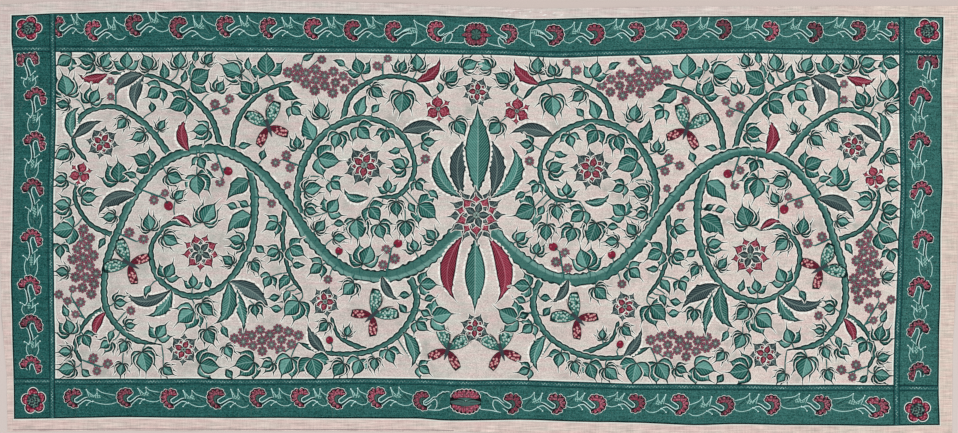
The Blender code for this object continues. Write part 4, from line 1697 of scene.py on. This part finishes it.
def seenEdges(count, corners, top):
    # the edges between two patches that both show, and the cloth's own edge
    edges, owners = np.sort(sidesOf(corners), axis=1), np.tile(top, 3)
    order = np.argsort(edges[:, 0] * count + edges[:, 1], kind="stable")
    edges, owners = edges[order], owners[order]
    same = (edges[1:] == edges[:-1]).all(1)
    paired, differs = np.zeros(len(edges), bool), np.zeros(len(edges), bool)
    paired[1:] |= same
    paired[:-1] |= same
    differs[:-1] = same & (owners[1:] != owners[:-1])
    return edges[~paired], edges[differs]


def thinEdges(flat, rim, edges, slack):
    # leaves out points that lie on a nearly straight run between two others
    fixed, beside = set(rim.ravel().tolist()), {}
    for a, b in edges.tolist() + rim.tolist():
        beside.setdefault(a, set()).add(b)
        beside.setdefault(b, set()).add(a)
    for middle in list(beside):
        if middle in fixed or len(beside[middle]) != 2:
            continue
        a, b = beside[middle]
        (runX, runY), (x, y) = flat[b] - flat[a], flat[middle] - flat[a]
        length, off = math.hypot(runX, runY), abs(runX * y - runY * x)
        if length < clothSettings["longestEdge"] and off < slack * length and b not in beside[a]:
            for one, other in ((a, b), (b, a)):
                beside[one].remove(middle)
                beside[one].add(other)
            del beside[middle]
    return [(a, b) for a, others in beside.items() for b in others if a < b]


def meshSide(flat, corners, top, slack):
    # one side of the cloth, cut only along the lines that show
    rim, inner = seenEdges(len(flat), corners, top)
    edges = thinEdges(flat, rim, inner, slack)
    used = sorted({point for edge in edges for point in edge})
    number = {point: k for k, point in enumerate(used)}
    points = [Vector(p) for p in np.vstack([flat[used], foldPoints()]).tolist()]
    lines = [(number[a], number[b]) for a, b in edges]
    made = delaunay_2d_cdt(points, lines, [], 0, clothSettings["mergeWithin"], False)
    newFlat = np.array([tuple(v) for v in made[0]], float)
    newCorners = np.array([face for face in made[2] if len(face) == 3], np.int64)
    # each new face belongs to the patch that its middle lies on
    tree = BVHTree.FromPolygons([(x, y, 0.0) for x, y in flat.tolist()], corners.tolist())
    owners = np.zeros(len(newCorners), np.int64)
    for k, (x, y) in enumerate(newFlat[newCorners].mean(axis=1).tolist()):
        hit = tree.ray_cast(Vector((x, y, 1.0)), Vector((0, 0, -1)))[2]
        owners[k] = top[hit] if hit is not None else 0
    return newFlat, newCorners, owners


def readMotifs(flat, corners, top):
    # for each corner of each face, its place in the motif that won the face
    place = np.zeros((len(corners), 3, 3))
    order = np.argsort(top, kind="stable")
    cuts = np.searchsorted(top[order], np.arange(len(patches) + 1))
    for number, patch in enumerate(patches):
        mine = order[cuts[number]:cuts[number + 1]]
        if len(mine):
            place[mine] = patch["reader"](flat[corners[mine].ravel()]).reshape(-1, 3, 3)
    return place


def clothHeight(flat):
    # where the flat drawing's points lie on the folded cloth's underside, and which way it faces there
    under = onCloth(flat)

    def lift(x, y):
        return foldHeight(under + (x, y)) + foldHeight(flat + (x, y), creaseRows)

    step = 1.0
    slopeX = (lift(step, 0) - lift(-step, 0)) / (2 * step)
    slopeY = (lift(0, step) - lift(0, -step)) / (2 * step)
    normal = np.stack([-slopeX, -slopeY, np.ones(len(flat))], 1)
    normal /= np.linalg.norm(normal, axis=1)[:, None]
    return np.column_stack([under, lift(0, 0) + clothSettings["clearance"]]), normal


def rimLoop(flat, corners):
    # the cut edge's sides, each from one point to the next with the cloth on the left, in order
    edges = sidesOf(corners)
    key = np.sort(edges, axis=1)
    _, index, times = np.unique(key[:, 0] * len(flat) + key[:, 1], return_index=True, return_counts=True)
    following = dict(edges[index[times == 1]].tolist())
    loop = [min(following, key=lambda k: (round(flat[k][0] + flat[k][1], 2), flat[k][0]))]
    while following[loop[-1]] != loop[0]:
        loop.append(following[loop[-1]])
    return np.array(loop)


def addObject(name, data):
    made = bpy.data.objects.new(name, data)
    bpy.context.scene.collection.objects.link(made)
    return made


def makeCloth():
    cut = cutPatches()
    print("batik panel: patches cut into", len(cut[1]), "faces")
    face, reverse = meshSide(*cut, clothSettings["faceSlack"]), meshSide(*cut, clothSettings["reverseSlack"])
    print("batik panel: face has", len(face[1]), "triangles, reverse has", len(reverse[1]))
    under, faceNormal = clothHeight(face[0])
    over = under + faceNormal * clothSettings["thickness"]
    below, reverseNormal = clothHeight(reverse[0])
    # the thin edge joins the two sides' outer points, which are the same on both
    outer, inner = rimLoop(face[0], face[1]), rimLoop(reverse[0], reverse[1]) + len(over)
    outerNext, innerNext = np.roll(outer, -1), np.roll(inner, -1)
    rim = np.concatenate([np.stack([outer, inner, innerNext], 1), np.stack([outer, innerNext, outerNext], 1)])

    # points, then for each face its corners, its patch's dye and seed, and its corners' places in the motif
    points = np.concatenate([over, below])
    faces = np.concatenate([face[1], reverse[1][:, ::-1] + len(over), rim])
    owner = np.concatenate([face[2], reverse[2], np.zeros(len(rim), np.int64)])
    names = list(finishes)
    slot = np.array([names.index(patch["dye"]) for patch in patches])[owner]
    seed = np.array([patch["seed"] for patch in patches])[owner]
    place = np.concatenate([readMotifs(*face), readMotifs(*reverse)[:, ::-1], np.zeros((len(rim), 3, 3))])

    mesh = bpy.data.meshes.new("batik_cloth_sheet")
    mesh.from_pydata((points / 1000).tolist(), [], faces.tolist())
    mesh.polygons.foreach_set("material_index", slot.astype(np.int32))
    for name, kind, part, values in (("motifPlace", "FLOAT_VECTOR", "vector", place.ravel()),
                                      ("motifSeed", "FLOAT", "value", np.repeat(seed, 3))):
        mesh.attributes.new(name, kind, "CORNER").data.foreach_set(part, values.astype(np.float32))

    # a flat map of the cloth, the same for both sides, because the dye shows through
    size = np.array([clothSettings["halfLength"], clothSettings["halfWidth"]])
    uv = np.clip((points[faces.ravel()][:, :2] + size) / (2 * size), 0.001, 0.999)
    mesh.uv_layers.new(name="OFBake")
    mesh.uv_layers["OFBake"].uv.foreach_set("vector", uv.astype(np.float32).ravel())

    mesh.update()
    mesh.validate(clean_customdata=False)
    mesh.shade_smooth()
    mesh.normals_split_custom_set_from_vertices(np.concatenate([faceNormal, -reverseNormal]).tolist())
    for name in names:
        mesh.materials.append(makeFinish(name))
    return addObject("batik_cloth_sheet", mesh)


clothSheet = makeCloth()
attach(clothSheet, "root")
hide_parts(clothSettings["node"])
print("batik panel: cloth made,", len(clothSheet.data.polygons), "triangles")

studio = {
    "floorSize": 9.0, "floorHeight": -0.0002, "floorColour": (217, 204, 198),
    # painted shade: the floor's colour towards the top of the picture
    "floorShadeColour": (208, 193, 186),
    "keyPower": 288.0, "keySize": 6.5, "keyPlace": (2.4, 1.6, 6.2),
    "fillPower": 174.0, "fillSize": 7.0, "fillPlace": (-3.2, -2.4, 6.4),
    "worldColour": (0.93, 0.94, 0.96), "worldStrength": 0.36,
    "viewWidth": 2.334,        # metres of cloth across the picture
    "viewMiddle": (-0.0024, 0.0),
    "lens": 85.0, "sensor": 36.0,
}


def makeStudio():
    for other in bpy.context.selected_objects:
        other.select_set(False)
    bpy.ops.mesh.primitive_plane_add(size=studio["floorSize"], location=(0, 0, studio["floorHeight"]))
    floor = bpy.context.active_object
    floor.name = "studioFloor"
    material = bpy.data.materials.new("floorPaper")
    material.use_nodes = True
    make, shader = NodeMaker(material.node_tree), material.node_tree.nodes["Principled BSDF"]
    shader.inputs["Roughness"].default_value = 0.9
    # painted shade: the floor is a little darker towards the top of the picture
    high = make.split(make.place())[1].ramp(-0.3, 0.5)
    make.join(make.mix(high, studio["floorColour"], studio["floorShadeColour"]), shader.inputs["Base Color"])
    floor.data.materials.append(material)

    for name in ("key", "fill"):
        lamp, place = bpy.data.lights.new(name + "Light", "AREA"), Vector(studio[name + "Place"])
        lamp.energy, lamp.size = studio[name + "Power"], studio[name + "Size"]
        lampObject = addObject(name + "Light", lamp)
        lampObject.location, lampObject.rotation_euler = place, place.to_track_quat("Z", "Y").to_euler()

    world = bpy.data.worlds.new("softRoom")
    world.use_nodes = True
    sky = world.node_tree.nodes["Background"].inputs
    sky["Color"].default_value = (*studio["worldColour"], 1)
    sky["Strength"].default_value = studio["worldStrength"]
    bpy.context.scene.world = world
    bpy.context.scene.view_settings.view_transform = "Standard"

    lens = bpy.data.cameras.new("photoCamera")
    lens.lens, lens.sensor_width = studio["lens"], studio["sensor"]
    camera = addObject("photoCamera", lens)
    distance = studio["viewWidth"] / 2 * studio["lens"] / (studio["sensor"] / 2)
    camera.location = (*studio["viewMiddle"], distance)
    bpy.context.scene.camera = camera


makeStudio()
print("batik panel: floor, light and camera ready")

bpy.context.view_layer.update()
